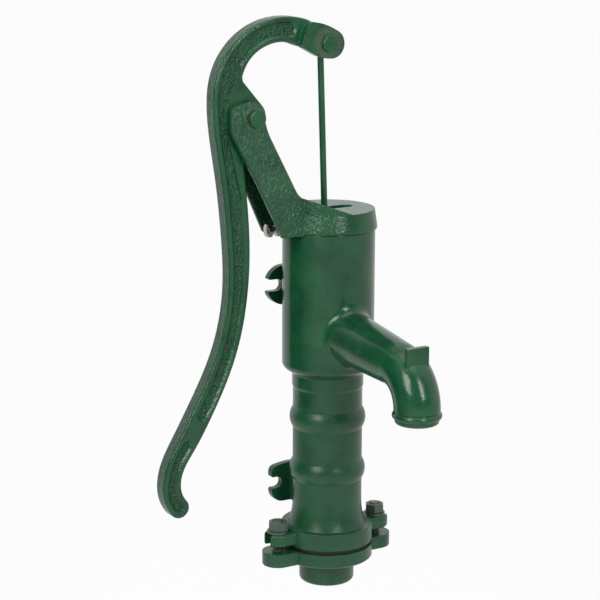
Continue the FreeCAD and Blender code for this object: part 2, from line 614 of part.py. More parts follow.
def make_base_flange():
    """The inlet casting that is bolted under the body: threaded boss, flange with ears, valve seat."""
    body = new_body("base_flange")
    boss = sketch_on(body, "XZ_Plane", "boss")
    trace(boss, [("0", "0"), ("inlet_r - 4.5", "0", "4.5"), ("inlet_r - 0.5", "4"),
                 ("inlet_r", "inlet_height"), ("flange_r - 1.5", "inlet_height"),
                 ("flange_r", "inlet_height + 1.5"), ("flange_r", "base_top"), ("0", "base_top")])
    turn(body, "Revolution", boss)
    ears = ear_outline(sketch_on(body, "XY_Plane", "ears", out="inlet_height"), "base_ear_r")
    pad(body, ears, "base_thick")
    soften(body, "Fillet", lambda edge: is_circle(edge, "base_ear_r", "inlet_height"), "1.5")
    bore = sketch_on(body, "XZ_Plane", "bore")
    trace(bore, [("0", "-1"), ("inlet_thread_r", "-1"), ("inlet_thread_r", "inlet_thread_depth"),
                 ("seat_r", "inlet_thread_depth"), ("seat_r", "base_top + 1"), ("0", "base_top + 1")])
    turn(body, "Groove", bore)
    holes = sketch_on(body, "XY_Plane", "bolt_holes", out="inlet_height")
    recess = sketch_on(body, "XY_Plane", "head_pockets", out="inlet_height")
    for side in ("-bolt_x", "bolt_x"):
        circle(holes, side, "0", "bolt_r + bolt_play")
        hexagon(recess, side, "0", "(bolt_head_flats + 2 * head_pocket_play)")
    pocket(body, holes, "base_thick", back=True)
    pocket(body, recess, "head_pocket_depth", back=True)
    return body


def hex_corners(body, bottom, top, flats):
    """Turn the corners of a hexagon off at both ends."""
    reach = f"({flats} / sqrt(3) + 1)"
    outline = sketch_on(body, "XZ_Plane", f"corners_{len(body.Group)}")
    cut = f"(({reach} - {flats} / 2 * 0.97) * tan(30))"
    trace(outline, [(f"{flats} / 2 * 0.97", top), (reach, top), (reach, f"{top} - {cut}")])
    trace(outline, [(f"{flats} / 2 * 0.97", bottom), (reach, f"{bottom} + {cut}"), (reach, bottom)])
    return turn(body, "Groove", outline)


def pair_on_flange(body):
    """Repeat the whole body at the other flange bolt."""
    doc.recompute()
    place(body, x="-bolt_x")
    pattern = body.newObject("PartDesign::LinearPattern", f"{body.Name}_pair")
    pattern.TransformMode = "Whole shape"
    pattern.Direction = (plane_of(body, "YZ_Plane"), [""])
    pattern.setExpression("Length", formula("2 * bolt_x"))
    pattern.Occurrences = 2
    body.Tip = pattern
    return body


def make_flange_fasteners():
    """Bolts, washers and nuts that hold the inlet flange to the body."""
    bolts = new_body("flange_bolts")
    head_top = "(inlet_height + head_pocket_depth - face_gap)"
    head_low = f"({head_top} - bolt_head_height)"
    head = hexagon(sketch_on(bolts, "XY_Plane", "head", out=head_low), "0", "0", "bolt_head_flats")
    pad(bolts, head, "bolt_head_height")
    hex_corners(bolts, head_low, head_top, "bolt_head_flats")
    shank = sketch_on(bolts, "XZ_Plane", "shank")
    tip = "(nut_z + nut_height + bolt_tip)"
    trace(shank, [("0", head_low), ("bolt_r", head_low), ("bolt_r", f"{tip} - 1"),
                  ("bolt_r - 1", tip), ("0", tip)])
    turn(bolts, "Revolution", shank)
    washers = new_body("flange_washers")
    ring = sketch_on(washers, "XY_Plane", "ring", out="ear_top")
    circle(ring, "0", "0", "washer_r")
    circle(ring, "0", "0", "bolt_r + bolt_play")
    pad(washers, ring, "washer_thick")
    nuts = new_body("flange_nuts")
    hex_outline = hexagon(sketch_on(nuts, "XY_Plane", "hex", out="nut_z"), "0", "0", "bolt_head_flats")
    pad(nuts, hex_outline, "nut_height")
    hex_corners(nuts, "nut_z", "(nut_z + nut_height)", "bolt_head_flats")
    pocket(nuts, circle(sketch_on(nuts, "XY_Plane", "hole", out="nut_z"), "0", "0", "bolt_r + face_gap"),
           "nut_height", back=True)
    return [pair_on_flange(body) for body in (bolts, washers, nuts)]


def make_foot_valve():
    """The leather between the flanges, its flap, and the weight, washer and screw that ride on the flap."""
    gasket = new_body("flange_gasket")
    ring = sketch_on(gasket, "XY_Plane", "ring", out="base_top")
    circle(ring, "0", "0", "gasket_r")
    circle(ring, "0", "0", "flap_hole_r")
    pad(gasket, ring, "gasket_thick")
    flap = new_body("clack_flap")
    leather = "(gasket_thick - 2 * part_gap)"
    low = "(base_top + part_gap)"
    pad(flap, circle(sketch_on(flap, "XY_Plane", "disc", out=low), "0", "0", "flap_r"), leather)
    end_r = "(flap_hole_r - part_gap)"
    end_y = f"sqrt({end_r}^2 - tongue_half^2)"
    tongue = sketch_on(flap, "XY_Plane", "tongue", out=low)
    trace(tongue, [("-tongue_half", "0"), ("tongue_half", "0"), ("tongue_half", end_y, end_r),
                   ("-tongue_half", end_y)])
    pad(flap, tongue, leather)
    hole = circle(sketch_on(flap, "XY_Plane", "hole", out=low), "0", "0", "clack_screw_r + face_gap")
    pocket(flap, hole, leather, back=True)
    top = f"({low} + {leather})"
    weight = new_body("clack_weight")
    outline = sketch_on(weight, "XZ_Plane", "outline")
    inner = "clack_screw_r + face_gap"
    trace(outline, [(inner, top), ("weight_r", top), ("weight_r", f"{top} + weight_tall - weight_dome", "30"),
                    (inner, f"{top} + weight_tall")])
    turn(weight, "Revolution", outline)
    washer = new_body("clack_washer")
    disc = sketch_on(washer, "XY_Plane", "disc", out=f"{low} - clack_washer_thick")
    circle(disc, "0", "0", "clack_washer_r")
    circle(disc, "0", "0", inner)
    pad(washer, disc, "clack_washer_thick")
    screw = new_body("clack_screw")
    under = f"({low} - clack_washer_thick)"
    profile = sketch_on(screw, "XZ_Plane", "profile")
    trace(profile, [("0", f"{under} - clack_screw_r"), ("1.2 * clack_screw_r", f"{under} - clack_screw_r"),
                    ("1.9 * clack_screw_r", f"{under} - 1"), ("1.9 * clack_screw_r", under),
                    ("clack_screw_r", under), ("clack_screw_r", f"{top} + weight_tall - 1"),
                    ("0", f"{top} + weight_tall - 1")])
    turn(screw, "Revolution", profile)
    return [gasket, flap, weight, washer, screw]


def make_cap_bracket():
    """The cap with its rising lip and the leaning bracket that carries the handle's pivot."""
    body = new_body("cap_bracket")
    lip = sketch_on(body, "XZ_Plane", "lip")
    lip_top = "(cap_top + lip_rise * cap_top_r + 6)"
    trace(lip, [("cap_top_r - lip_thick", "cap_under"), ("cap_top_r", "cap_under"), ("cap_top_r", lip_top),
                ("cap_top_r - lip_thick", lip_top)])
    turn(body, "Revolution", lip)
    slope = sketch_on(body, "XZ_Plane", "lip_slope")
    trace(slope, [("-70", "cap_top + 70 * lip_rise"), ("0", "cap_top"), ("70", "cap_top"),
                  ("70", "cap_top + 60"), ("-70", "cap_top + 60")])
    pocket(body, slope, both=True, through=True)
    disc = sketch_on(body, "XZ_Plane", "disc")
    trace(disc, [("0", "cap_skirt_z"), ("cap_skirt_r", "cap_skirt_z"), ("cap_skirt_r", "cap_skirt_z + 3"),
                 ("cap_top_r", "cap_top"), ("0", "cap_top")])
    turn(body, "Revolution", disc)
    web = []
    for name, z, half, front in (("low", "cap_under", "foot_half - 4.5", "web_foot_x"),
                                 ("high", "web_top_z", "foot_half - 10", "web_top_x")):
        level = sketch_on(body, "XY_Plane", f"web_{name}", out=z)
        rectangle(level, f"{front} - web_thick", f"-({half})", front, half)
        web.append(level)
    loft(body, "AdditiveLoft", web)
    wall = sketch_on(body, "XZ_Plane", "wall", out="foot_half", up="foot_z", tilt="-bracket_lean")
    trace(wall, wall_corners())
    side = pad(body, wall, "bracket_wall", back=True)
    mirror = body.newObject("PartDesign::Mirrored", "cap_bracket_walls")
    mirror.Originals = [side]
    mirror.MirrorPlane = (plane_of(body, "XZ_Plane"), [""])
    body.Tip = mirror
    soften(body, "Fillet", is_wall_edge, "wall_soft")
    boss = sketch_on(body, "XZ_Plane", "screw_boss")
    rectangle(boss, "set_boss_x", "set_boss_low", "-neck_r", "set_boss_top")
    pad(body, boss, "2 * set_boss_half", both=True)
    seat = sketch_on(body, "XZ_Plane", "seat")
    wide = "barrel_r + cap_fit"
    narrow = "neck_r + cap_fit"
    trace(seat, [("0", "set_boss_low - 5"), (wide, "set_boss_low - 5"), (wide, "cap_skirt_z"),
                 (narrow, "cap_skirt_z"), (narrow, "cap_under"), ("0", "cap_under")])
    turn(body, "Groove", seat)
    slot = sketch_on(body, "XY_Plane", "rod_slot", out="cap_top")
    back = "-rod_slot_back + rod_slot_half"
    front = "rod_slot_front - rod_slot_half"
    trace(slot, [(back, "rod_slot_half", "rod_slot_half * 1.0001"), (back, "-rod_slot_half"),
                 (front, "-rod_slot_half", "rod_slot_half * 1.0001"), (front, "rod_slot_half")])
    pocket(body, slot, "cap_top - cap_under + 1")
    pivot = circle(sketch_on(body, "XZ_Plane", "pivot_hole"), "pivot_x", "pivot_z", "pivot_pin_r + face_gap")
    pocket(body, pivot, both=True, through=True)
    thread = sketch_on(body, "YZ_Plane", "screw_hole", out="-neck_r + 4")
    circle(thread, "0", "set_screw_z", "set_screw_r + face_gap")
    pocket(body, thread, "-set_boss_x", back=False)
    return body


def is_wall_edge(edge):
    """True for the long straight edges of the bracket's walls, on their outer side."""
    lean = math.tan(math.radians(value("bracket_lean")))
    for point in (edge.valueAt(edge.FirstParameter), edge.valueAt(edge.LastParameter)):
        if abs(abs(point.y) - value("foot_half") + (point.z - value("foot_z")) * lean) > 0.02:
            return False
    return isinstance(edge.Curve, Part.Line) and edge.Length > 20 and edge.BoundBox.ZMin > value("cap_top")


def wall_corners():
    """Outline of a bracket wall; heights are measured up the leaning plane from the foot."""
    def up(z):
        return f"({z} - foot_z) / cos(bracket_lean)"
    return [("wall_front_x", up("foot_z")), ("wall_front_x", up("cap_top + 13"), "-24"),
            ("wall_front_x - 17.9", up("cap_top + 25.7")),
            ("pivot_x + 20", up("pivot_z - 24"), "-60"), ("pivot_x + 14.5", up("pivot_z - 10")),
            ("pivot_x + 12.5", up("pivot_z - 1"), "17"), ("pivot_x - 5", up("pivot_z + 17.5")),
            ("pivot_x - 19", up("pivot_z + 14"), "9"), ("pivot_x - 27", up("pivot_z + 6")),
            ("pivot_x - 27.5", up("pivot_z - 10"), "20"), ("pivot_x - 25", up("pivot_z - 18")),
            ("wall_back_x - 27.5", up("foot_z + 58")), ("wall_back_x", up("foot_z"))]


def handle_edges(first, last, less):
    """Points on both edges of the handle between two stations, and the tips of its round ends."""
    pivot = V(value("pivot_x"), value("pivot_z"), 0)
    middle = []
    widths = []
    for station in range(len(HANDLE_LINE)):
        middle.append(pivot + V(value(f"line_x_{station}"), value(f"line_z_{station}"), 0))
        widths.append(value(f"line_width_{station}") / 2 - less)
    line = Part.BSplineCurve()
    line.interpolate(middle)
    left = []
    right = []
    ways = []
    for point, half in zip(middle, widths):
        way = line.tangent(line.parameter(point))[0].normalize()
        ways.append(way)
        left.append(point + V(-way.y, way.x, 0) * half)
        right.append(point + V(way.y, -way.x, 0) * half)
    caps = [middle[first] - ways[first] * widths[first], middle[last] + ways[last] * widths[last]]
    return left[first:last + 1], right[first:last + 1], caps


def handle_band(sketch, first, last, less):
    """Draw the handle's outline, or a panel that stands in from it, with round ends."""
    left, right, caps = handle_edges(first, last, less)
    for points in (left, right):
        edge = Part.BSplineCurve()
        edge.interpolate(points)
        sketch.addGeometry(edge)
    sketch.addGeometry(Part.Arc(right[0], caps[0], left[0]))
    sketch.addGeometry(Part.Arc(left[-1], caps[1], right[-1]))
    for index in range(4):
        sketch.addConstraint(Sketcher.Constraint("Block", index))
    return sketch


def make_handle():
    """The hooked handle: band with rims and panels, ear round the pivot and fork for the rod."""
    body = new_body("handle")
    last = len(HANDLE_LINE) - 1
    pad(body, handle_band(sketch_on(body, "XZ_Plane", "band"), 0, last, 0), "handle_thick", both=True)
    soften(body, "Fillet", lambda edge: edge.BoundBox.YLength < 0.01, "handle_soft")
    for name, start, end in (("long", 2, 11), ("short", 12, last)):
        for side, sign in (("near", ""), ("far", "-")):
            rim = sketch_on(body, "XZ_Plane", f"rim_{name}_{side}", out=f"{sign}handle_thick / 2")
            handle_band(rim, start, end, value("handle_rim"))
            depth = f"{sign}(handle_thick / 2 - panel_deep)"
            floor = sketch_on(body, "XZ_Plane", f"floor_{name}_{side}", out=depth)
            handle_band(floor, start, end, value("handle_rim + panel_slope"))
            loft(body, "SubtractiveLoft", [rim, floor])
    ear = sketch_on(body, "XZ_Plane", "ear")
    corners = [("pivot_x - 12.5", "pivot_z + 54"), ("pivot_x - 29", "pivot_z + 11.6", "30"),
               ("pivot_x - 28", "pivot_z - 12"), ("pivot_x - 10.5", "pivot_z - 85"),
               ("pivot_x - 9.5", "pivot_z - 85"), ("pivot_x - 9", "pivot_z - 50")]
    corners.append(("pivot_x + handle_ear_r * cos(-40)", "pivot_z + handle_ear_r * sin(-40)", "handle_ear_r"))
    corners.append(("pivot_x + handle_ear_r * cos(43)", "pivot_z + handle_ear_r * sin(43)"))
    corners.append(("pivot_x - 9.4", "pivot_z + 37"))
    pad(body, trace(ear, corners), "handle_thick", both=True)
    end_x = "(rod_pin_x + fork_end_x)"
    end_z = "(rod_pin_z + fork_end_z)"
    top = ("rod_pin_x - 20.6", "rod_pin_z + 22.9", "fork_r")
    near = [top, ("rod_pin_x - 31.2", "rod_pin_z - 3.1"), ("rod_pin_x - 15.6", "rod_pin_z - 11.6", "40"),
            (f"{end_x} + fork_end_r * cos(260)", f"{end_z} + fork_end_r * sin(260)", "fork_end_r"),
            (f"{end_x} + fork_end_r * cos(66)", f"{end_z} + fork_end_r * sin(66)", "70")]
    behind = [top, ("rod_pin_x - 30", "rod_pin_z + 4"), ("rod_pin_x - 15.6", "rod_pin_z - 5", "40")]
    middle = behind + [(f"{end_x} + fork_end_r * cos(235)", f"{end_z} + fork_end_r * sin(235)", "fork_end_r"),
                       near[-1]]
    far = behind + [("rod_pin_x + fork_far_r * cos(255)", "rod_pin_z + fork_far_r * sin(255)", "fork_far_r"),
                    ("rod_pin_x + fork_far_r * cos(66)", "rod_pin_z + fork_far_r * sin(66)", "70")]
    for name, cheek, face in (("near", near, "handle_thick / 2"), ("far", far, "-handle_thick / 2")):
        outline = trace(sketch_on(body, "XZ_Plane", f"fork_{name}", out=face), cheek)
        pad(body, outline, "(fork_thick - handle_thick) / 2", back=name == "far")
    pad(body, trace(sketch_on(body, "XZ_Plane", "fork_middle"), middle), "handle_thick", both=True)
    gap = sketch_on(body, "XZ_Plane", "fork_gap")
    trace(gap, [("rod_pin_x", "rod_pin_z + fork_gap_r", "fork_gap_r"),
                ("rod_pin_x - fork_gap_r", "rod_pin_z"), ("rod_pin_x - fork_gap_r", "rod_pin_z - 60"),
                ("rod_pin_x + 60", "rod_pin_z - 60"),
                ("rod_pin_x + 60", "rod_pin_z + fork_gap_r")])
    pocket(body, gap, "fork_gap", both=True)
    holes = sketch_on(body, "XZ_Plane", "pin_holes")
    circle(holes, "pivot_x", "pivot_z", "pivot_pin_r + pin_play")
    circle(holes, "rod_pin_x", "rod_pin_z", "rod_pin_r + face_gap")
    pocket(body, holes, both=True, through=True)
    return body


def make_pin(name, x, z, radius, head_r, head_thick, face):
    """A headed pin along Y with a hole for its split pin; its seat lies face away from the middle."""
    body = new_body(name)
    place(body, x=x, z=z)
    pad(body, circle(sketch_on(body, "XZ_Plane", "head", out=face), "0", "0", head_r), head_thick)
    seat_y = -value(face)
    soften(body, "Fillet", lambda edge: is_circle(edge, head_r) and edge.BoundBox.YMax < seat_y - 1, "1.5")
    shank = circle(sketch_on(body, "XZ_Plane", "shank", out=face), "0", "0", radius)
    pad(body, shank, f"2 * {face} + pin_end", back=True)
    hole = sketch_on(body, "XY_Plane", "split_hole")
    pocket(body, circle(hole, "0", f"{face} + pin_end - split_back", "split_hole_r"), both=True, through=True)
    return body


def make_split_pin(name, x, z, pin_r, face):
    """A split pin: ring, two legs through the pin and two tips bent apart."""
    body = new_body(name)
    place(body, x=x, y=f"{face} + pin_end - split_back", z=z)
    ring_z = f"({pin_r} + 3 * split_r + 0.4)"
    leg_low = f"(-{pin_r} - 1.5)"
    leg_y = "(split_leg_r + face_gap)"
    ring = sketch_on(body, "XY_Plane", "ring", out=ring_z)
    turn(body, "Revolution", circle(ring, "0", "2.6 * split_r", "split_r"), "H_Axis")
    for side, sign in (("near", "-"), ("far", "")):
        leg = sketch_on(body, "XY_Plane", f"leg_{side}", out=leg_low)
        pad(body, circle(leg, "0", f"{sign}{leg_y}", "split_leg_r"), f"{ring_z} - 2.1 * split_r - {leg_low}")
        middle = f"{sign}({leg_y} + split_bend)"
        across = "split_bend" if sign else "-split_bend"
        bend = sketch_on(body, "XY_Plane", f"bend_{side}", out=leg_low, up=middle)
        turn(body, "Revolution", circle(bend, "0", across, "split_leg_r"), "H_Axis", "30", back=sign == "-")
        tip = sketch_on(body, "XY_Plane", f"tip_{side}", out=leg_low, up=middle, tilt=f"{sign}30")
        pad(body, circle(tip, "0", across, "split_leg_r"), "3.5", back=True)
    return body


def make_pins():
    """The pins at the handle's pivot and at the rod, with washer and split pins."""
    pivot_face = "(pivot_wall_y + 0.7)"
    rod_face = "(fork_thick / 2 + face_gap)"
    made = [
        make_pin("pivot_pin", "pivot_x", "pivot_z", "pivot_pin_r",
                 "pivot_head_r", "pivot_head_thick", pivot_face),
        make_pin("rod_pin", "rod_pin_x", "rod_pin_z", "rod_pin_r",
                 "rod_pin_head_r", "rod_pin_head_thick", rod_face),
        make_split_pin("pivot_split_pin", "pivot_x", "pivot_z", "pivot_pin_r", pivot_face),
        make_split_pin("rod_split_pin", "rod_pin_x", "rod_pin_z", "rod_pin_r", rod_face)]
    washer = new_body("pivot_washer")
    place(washer, x="pivot_x", z="pivot_z")
    ring = sketch_on(washer, "XZ_Plane", "ring", out=f"-{pivot_face}")
    circle(ring, "0", "0", "pin_washer_r")
    circle(ring, "0", "0", "pivot_pin_r + pin_play")
    pad(washer, ring, "pin_washer_thick", back=True)
    return made + [washer]


def make_set_screw():
    """The hexagon screw that clamps the cap on the barrel, and its lock nut."""
    screw = new_body("cap_set_screw")
    place(screw, z="set_screw_z")
    head_x = "(set_boss_x - lock_nut_height - set_screw_gap)"
    head = hexagon(sketch_on(screw, "YZ_Plane", "head", out=head_x), "0", "0", "set_screw_flats")
    pad(screw, head, "set_head_height", back=True)
    shank = circle(sketch_on(screw, "YZ_Plane", "shank", out=head_x), "0", "0", "set_screw_r")
    pad(screw, shank, f"-barrel_r - part_gap - {head_x}")
    point = circle(sketch_on(screw, "YZ_Plane", "point", out=head_x), "0", "0", "set_point_r")
    pad(screw, point, f"-neck_r - part_gap - {head_x}")
    nut = new_body("set_screw_lock_nut")
    place(nut, z="set_screw_z")
    flat = hexagon(sketch_on(nut, "YZ_Plane", "hex", out="set_boss_x"), "0", "0", "set_screw_flats")
    pad(nut, flat, "lock_nut_height", back=True)
    bore = circle(sketch_on(nut, "YZ_Plane", "hole", out="set_boss_x"), "0", "0", "set_screw_r + face_gap")
    pocket(nut, bore, "lock_nut_height")
    return [screw, nut]


def make_piston_rod():
    """The rod with an eye at each end; it is drawn upright and tilted into place."""
    body = new_body("piston_rod")
    body.Placement = FreeCAD.Placement(V(0, 0, 0), FreeCAD.Rotation(V(0, 1, 0), -1))
    body.setExpression(".Placement.Rotation.Angle", formula("rod_tilt"))
    place(body, z="joint_z")
    shaft_low = "(eye_slack + eye_hole_half + 2)"
    shaft = sketch_on(body, "XY_Plane", "shaft", out=shaft_low)
    pad(body, circle(shaft, "0", "0", "rod_r"), f"rod_length - rod_pin_r - 2 - {shaft_low}")
    upper = circle(sketch_on(body, "XZ_Plane", "upper_eye"), "0", "rod_length", "rod_eye_r")
    pad(body, upper, "rod_eye_thick", both=True)
    lower = sketch_on(body, "YZ_Plane", "lower_eye")
    trace(lower, oval("eye_half"))
    pad(body, lower, "eye_thick", both=True)
    hole = circle(sketch_on(body, "XZ_Plane", "pin_hole"), "0", "rod_length", "rod_pin_r + pin_play")
    pocket(body, hole, both=True, through=True)
    slack = sketch_on(body, "YZ_Plane", "bar_hole")
    trace(slack, oval("eye_hole_half"))
    pocket(body, slack, both=True, through=True)
    return body


def oval(half):
    """An upright oval round the joint, of this half width."""
    bend = f"{half} * 1.0001"
    return [(half, "eye_slack", bend), (f"-{half}", "eye_slack"), (f"-{half}", "-eye_slack", bend),
            (half, "-eye_slack")]


def make_piston():
    """The piston: bail and upper plate, leather cup, follower and poppet valve."""
    yoke = new_body("piston_yoke")
    plate = sketch_on(yoke, "XZ_Plane", "plate")
    inner = "(spigot_r + face_gap)"
    trace(plate, [(inner, "plate_z"), ("plate_r", "plate_z"), ("plate_r", "piston_top_z - 1.5"),
                  ("plate_r - 1.5", "piston_top_z"), (inner, "piston_top_z")])
    turn(yoke, "Revolution", plate)
    bail = sketch_on(yoke, "XZ_Plane", "bail")
    outer = "(bail_x + bail_leg)"
    bail_top = "(joint_z + bar_r)"
    trace(bail, [(f"-{outer}", "plate_z + 4"), ("-bail_x", "plate_z + 4"), ("-bail_x", "stop_z"),
                 ("bail_x", "stop_z"), ("bail_x", "plate_z + 4"), (outer, "plate_z + 4"),
                 (outer, f"{bail_top} - bail_leg", "bail_leg"), ("bail_x", bail_top),
                 ("-bail_x", bail_top, "bail_leg"), (f"-{outer}", f"{bail_top} - bail_leg")])
    pad(yoke, bail, "bail_deep", both=True)
    window = sketch_on(yoke, "XZ_Plane", "window")
    rectangle(window, "-bail_x", "stop_z + stop_thick", "bail_x", f"{bail_top} + 1")
    pocket(yoke, window, both=True, through=True)
    bar = circle(sketch_on(yoke, "YZ_Plane", "bar"), "0", "joint_z", "bar_r")
    pad(yoke, bar, "2 * bail_x + bail_leg", both=True)
    port = sketch_on(yoke, "XY_Plane", "port", out="plate_z")
    pocket(yoke, circle(port, "0", "0", inner), "plate_thick", back=True)
    cup = new_body("piston_cup_leather")
    cup_r = "(cylinder_bore_r - cup_play)"
    leather = sketch_on(cup, "XZ_Plane", "leather")
    trace(leather, [(inner, "cup_z"), (f"{cup_r} - 3", "cup_z", "3"), (cup_r, "cup_z + 3"),
                    (cup_r, "cup_z + cup_tall"), (f"{cup_r} - 1", "cup_z + cup_tall"),
                    (f"{cup_r} - cup_wall", "cup_z + cup_tall - 6"), (f"{cup_r} - cup_wall", "plate_z"),
                    (inner, "plate_z")])
    turn(cup, "Revolution", leather)
    follower = new_body("piston_follower")
    disc = sketch_on(follower, "XZ_Plane", "disc")
    trace(disc, [("port_r", "follower_z"), ("follower_r - 1", "follower_z"), ("follower_r", "follower_z + 1"),
                 ("follower_r", "cup_z"), ("spigot_r", "cup_z"), ("spigot_r", "valve_seat_z"),
                 ("port_r", "valve_seat_z")])
    turn(follower, "Revolution", disc)
    valve = new_body("piston_valve")
    low = "(valve_seat_z + part_gap)"
    knob_top = f"({low} + valve_thick + valve_knob)"
    poppet = sketch_on(valve, "XZ_Plane", "poppet")
    trace(poppet, [("0", low), ("valve_r", low), ("valve_r", f"{low} + valve_thick - 1.5"),
                   ("valve_knob_r", f"{low} + valve_thick"), ("valve_knob_r - 2", knob_top), ("0", knob_top)])
    turn(valve, "Revolution", poppet)
    wing = sketch_on(valve, "XZ_Plane", "wing")
    reach = "(port_r - valve_fit)"
    rectangle(wing, "0", f"{low} - wing_length", reach, f"{low} + 1")
    blade = pad(valve, wing, "wing_thick", both=True)
    wings = valve.newObject("PartDesign::PolarPattern", "piston_valve_wings")
    wings.Originals = [blade]
    wings.Axis = (poppet, ["V_Axis"])
    wings.Angle = 360
    wings.Occurrences = 3
    valve.Tip = wings
    return [yoke, cup, follower, valve]


make_pump_body()
make_base_flange()
make_flange_fasteners()
make_foot_valve()
make_cap_bracket()
make_handle()
make_pins()
make_set_screw()
make_piston_rod()
make_piston()
doc.recompute()

# Every object must be sound before its file is written
for item in doc.Objects:
    if "Invalid" in item.State or "Error" in item.State:
        raise RuntimeError(f"{item.Name} did not build: {item.State}")
for body in doc.findObjects("PartDesign::Body"):
    if body.Shape.isNull() or not body.Shape.isValid():
        raise RuntimeError(f"{body.Label} has no sound shape")
    body.Shape.exportStep(f"parts/{body.Label}.step")
    print(body.Label, len(body.Shape.Solids), "solid(s)", round(body.Shape.Volume / 1000, 2), "cm3")
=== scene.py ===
# %% [markdown]
# # A wall-mounted hand pump, dressed for its photograph
# The pump is an iron casting with a turning cap, a hooked lever and a spout, all brushed with dark green
# enamel. This lesson gives each one the finish of the real piece, models the screws and nuts again with
# their threads and chamfers, and lights it all like a product on a white table.

import math

import bpy
from mathutils import Matrix, Vector


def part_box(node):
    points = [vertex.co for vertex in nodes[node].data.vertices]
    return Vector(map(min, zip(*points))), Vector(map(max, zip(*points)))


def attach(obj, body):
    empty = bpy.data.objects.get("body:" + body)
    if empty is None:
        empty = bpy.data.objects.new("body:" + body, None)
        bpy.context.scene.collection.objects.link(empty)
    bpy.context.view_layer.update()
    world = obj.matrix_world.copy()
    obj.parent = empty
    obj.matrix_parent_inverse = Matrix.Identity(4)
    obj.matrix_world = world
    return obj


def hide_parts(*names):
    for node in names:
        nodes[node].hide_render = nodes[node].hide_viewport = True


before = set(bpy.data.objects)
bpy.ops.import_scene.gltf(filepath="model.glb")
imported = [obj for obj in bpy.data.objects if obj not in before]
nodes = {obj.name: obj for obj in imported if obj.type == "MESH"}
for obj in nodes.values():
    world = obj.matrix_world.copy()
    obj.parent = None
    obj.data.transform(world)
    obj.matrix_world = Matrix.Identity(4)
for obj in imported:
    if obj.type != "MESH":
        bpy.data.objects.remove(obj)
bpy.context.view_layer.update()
MM = 0.001

# %% [markdown]
# ## Camera
# The photograph was taken from the left of the spout, a little above the cap, with a long lens from about
# two metres. The camera stands there: a heading round the pump, a height, and how far it looks down.

# %% The camera at the photographer's place
CAMERA_ROUND = math.radians(-31)
CAMERA_AWAY = 2.0973
CAMERA_HEIGHT = 0.8059
CAMERA_HEADING = math.radians(-30.172)
CAMERA_DOWN = math.radians(13.161)
CAMERA_ROLL = math.radians(0.208)
LENS_MM = 120.4
FILM_MM = 36

camera_data = bpy.data.cameras.new("camera")
camera_data.lens = LENS_MM
camera_data.sensor_width = FILM_MM
camera = bpy.data.objects.new("camera", camera_data)
bpy.context.scene.collection.objects.link(camera)
stand = Vector((math.sin(CAMERA_ROUND) * CAMERA_AWAY, -math.cos(CAMERA_ROUND) * CAMERA_AWAY, CAMERA_HEIGHT))
heading = Matrix.Rotation(CAMERA_HEADING, 4, "Z")
tilt = Matrix.Rotation(math.pi / 2 - CAMERA_DOWN, 4, "X")
roll = Matrix.Rotation(CAMERA_ROLL, 4, "Z")
camera.matrix_world = Matrix.Translation(stand) @ heading @ tilt @ roll
bpy.context.scene.camera = camera
print("camera at", [round(value, 3) for value in stand])

# %% [markdown]
# ## Colours and nodes
# Colours are written as they look on a screen, as hex values, and one function turns them into the linear
# light that shaders count in. One more function adds a node with its settings and what feeds it, which
# keeps every material short enough to read.


# %% Helpers for all materials
def paint(hex_colour):
    """Linear red, green, blue and alpha of a hex colour."""
    channels = [int(hex_colour[place:place + 2], 16) / 255 for place in (1, 3, 5)]
    linear = [c / 12.92 if c <= 0.04045 else ((c + 0.055) / 1.055) ** 2.4 for c in channels]
    return (*linear, 1.0)


def add_node(tree, kind, settings=None, inputs=None):
    """A node with its settings; each input is a fixed value or the socket that feeds it."""
    node = tree.nodes.new(kind)
    for name, value in (settings or {}).items():
        setattr(node, name, value)
    for name, value in (inputs or {}).items():
        if isinstance(value, bpy.types.NodeSocket):
            tree.links.new(value, node.inputs[name])
        else:
            node.inputs[name].default_value = value
    return node


def new_material(name):
    """An empty node material, and the tree to build it in."""
    material = bpy.data.materials.new(name)
    material.use_nodes = True
    material.node_tree.nodes.clear()
    return material, material.node_tree


def per_mm(size):
    """The scale of a pattern whose lumps are this many millimetres across."""
    return 1 / (size * MM)


WHITE = paint("#FFFFFF")
# A noise pattern seldom leaves this range
NOISE_LOW = 0.3
NOISE_HIGH = 0.7
print("dark enamel in linear light:", [round(value, 3) for value in paint("#12472C")[:3]])

# %% [markdown]
# ## White room
# The pump stands in front of plain white, and the camera sees the room white all round. In the gloss of
# the paint the backdrop is white too, but the side where the photographer stands is dim, which is what
# makes lumps and edges show. The light that the room sheds on the paint is less again, so that colours
# come out as they are written.

# %% World
ROOM_FILL = 0.34
DIM_SIDE = 0.22
DIM_FULL_AT = 0.6

world = bpy.data.worlds.new("white room")
bpy.context.scene.world = world
world.use_nodes = True
room = world.node_tree
room.nodes.clear()
rays = add_node(room, "ShaderNodeLightPath")
seen_or_glossy = add_node(room, "ShaderNodeMath", {"operation": "MAXIMUM"},
                          {0: rays.outputs["Is Camera Ray"], 1: rays.outputs["Is Glossy Ray"]})
as_backdrop = add_node(room, "ShaderNodeMath", {"operation": "MAXIMUM"},
                       {0: seen_or_glossy.outputs[0], 1: rays.outputs["Is Transmission Ray"]})
ray_way = add_node(room, "ShaderNodeTexCoord").outputs["Generated"]
photographer_way = (math.sin(CAMERA_HEADING), -math.cos(CAMERA_HEADING), 0)
toward = add_node(room, "ShaderNodeVectorMath", {"operation": "DOT_PRODUCT"},
                  {0: ray_way, 1: photographer_way})
dimmed = add_node(room, "ShaderNodeMapRange", {"interpolation_type": "SMOOTHSTEP"},
                  {"Value": toward.outputs["Value"], "From Min": 0.0, "From Max": DIM_FULL_AT,
                   "To Min": 1.0, "To Max": DIM_SIDE})
level = add_node(room, "ShaderNodeMath", {"operation": "MAXIMUM"},
                 {0: dimmed.outputs[0], 1: rays.outputs["Is Camera Ray"]})
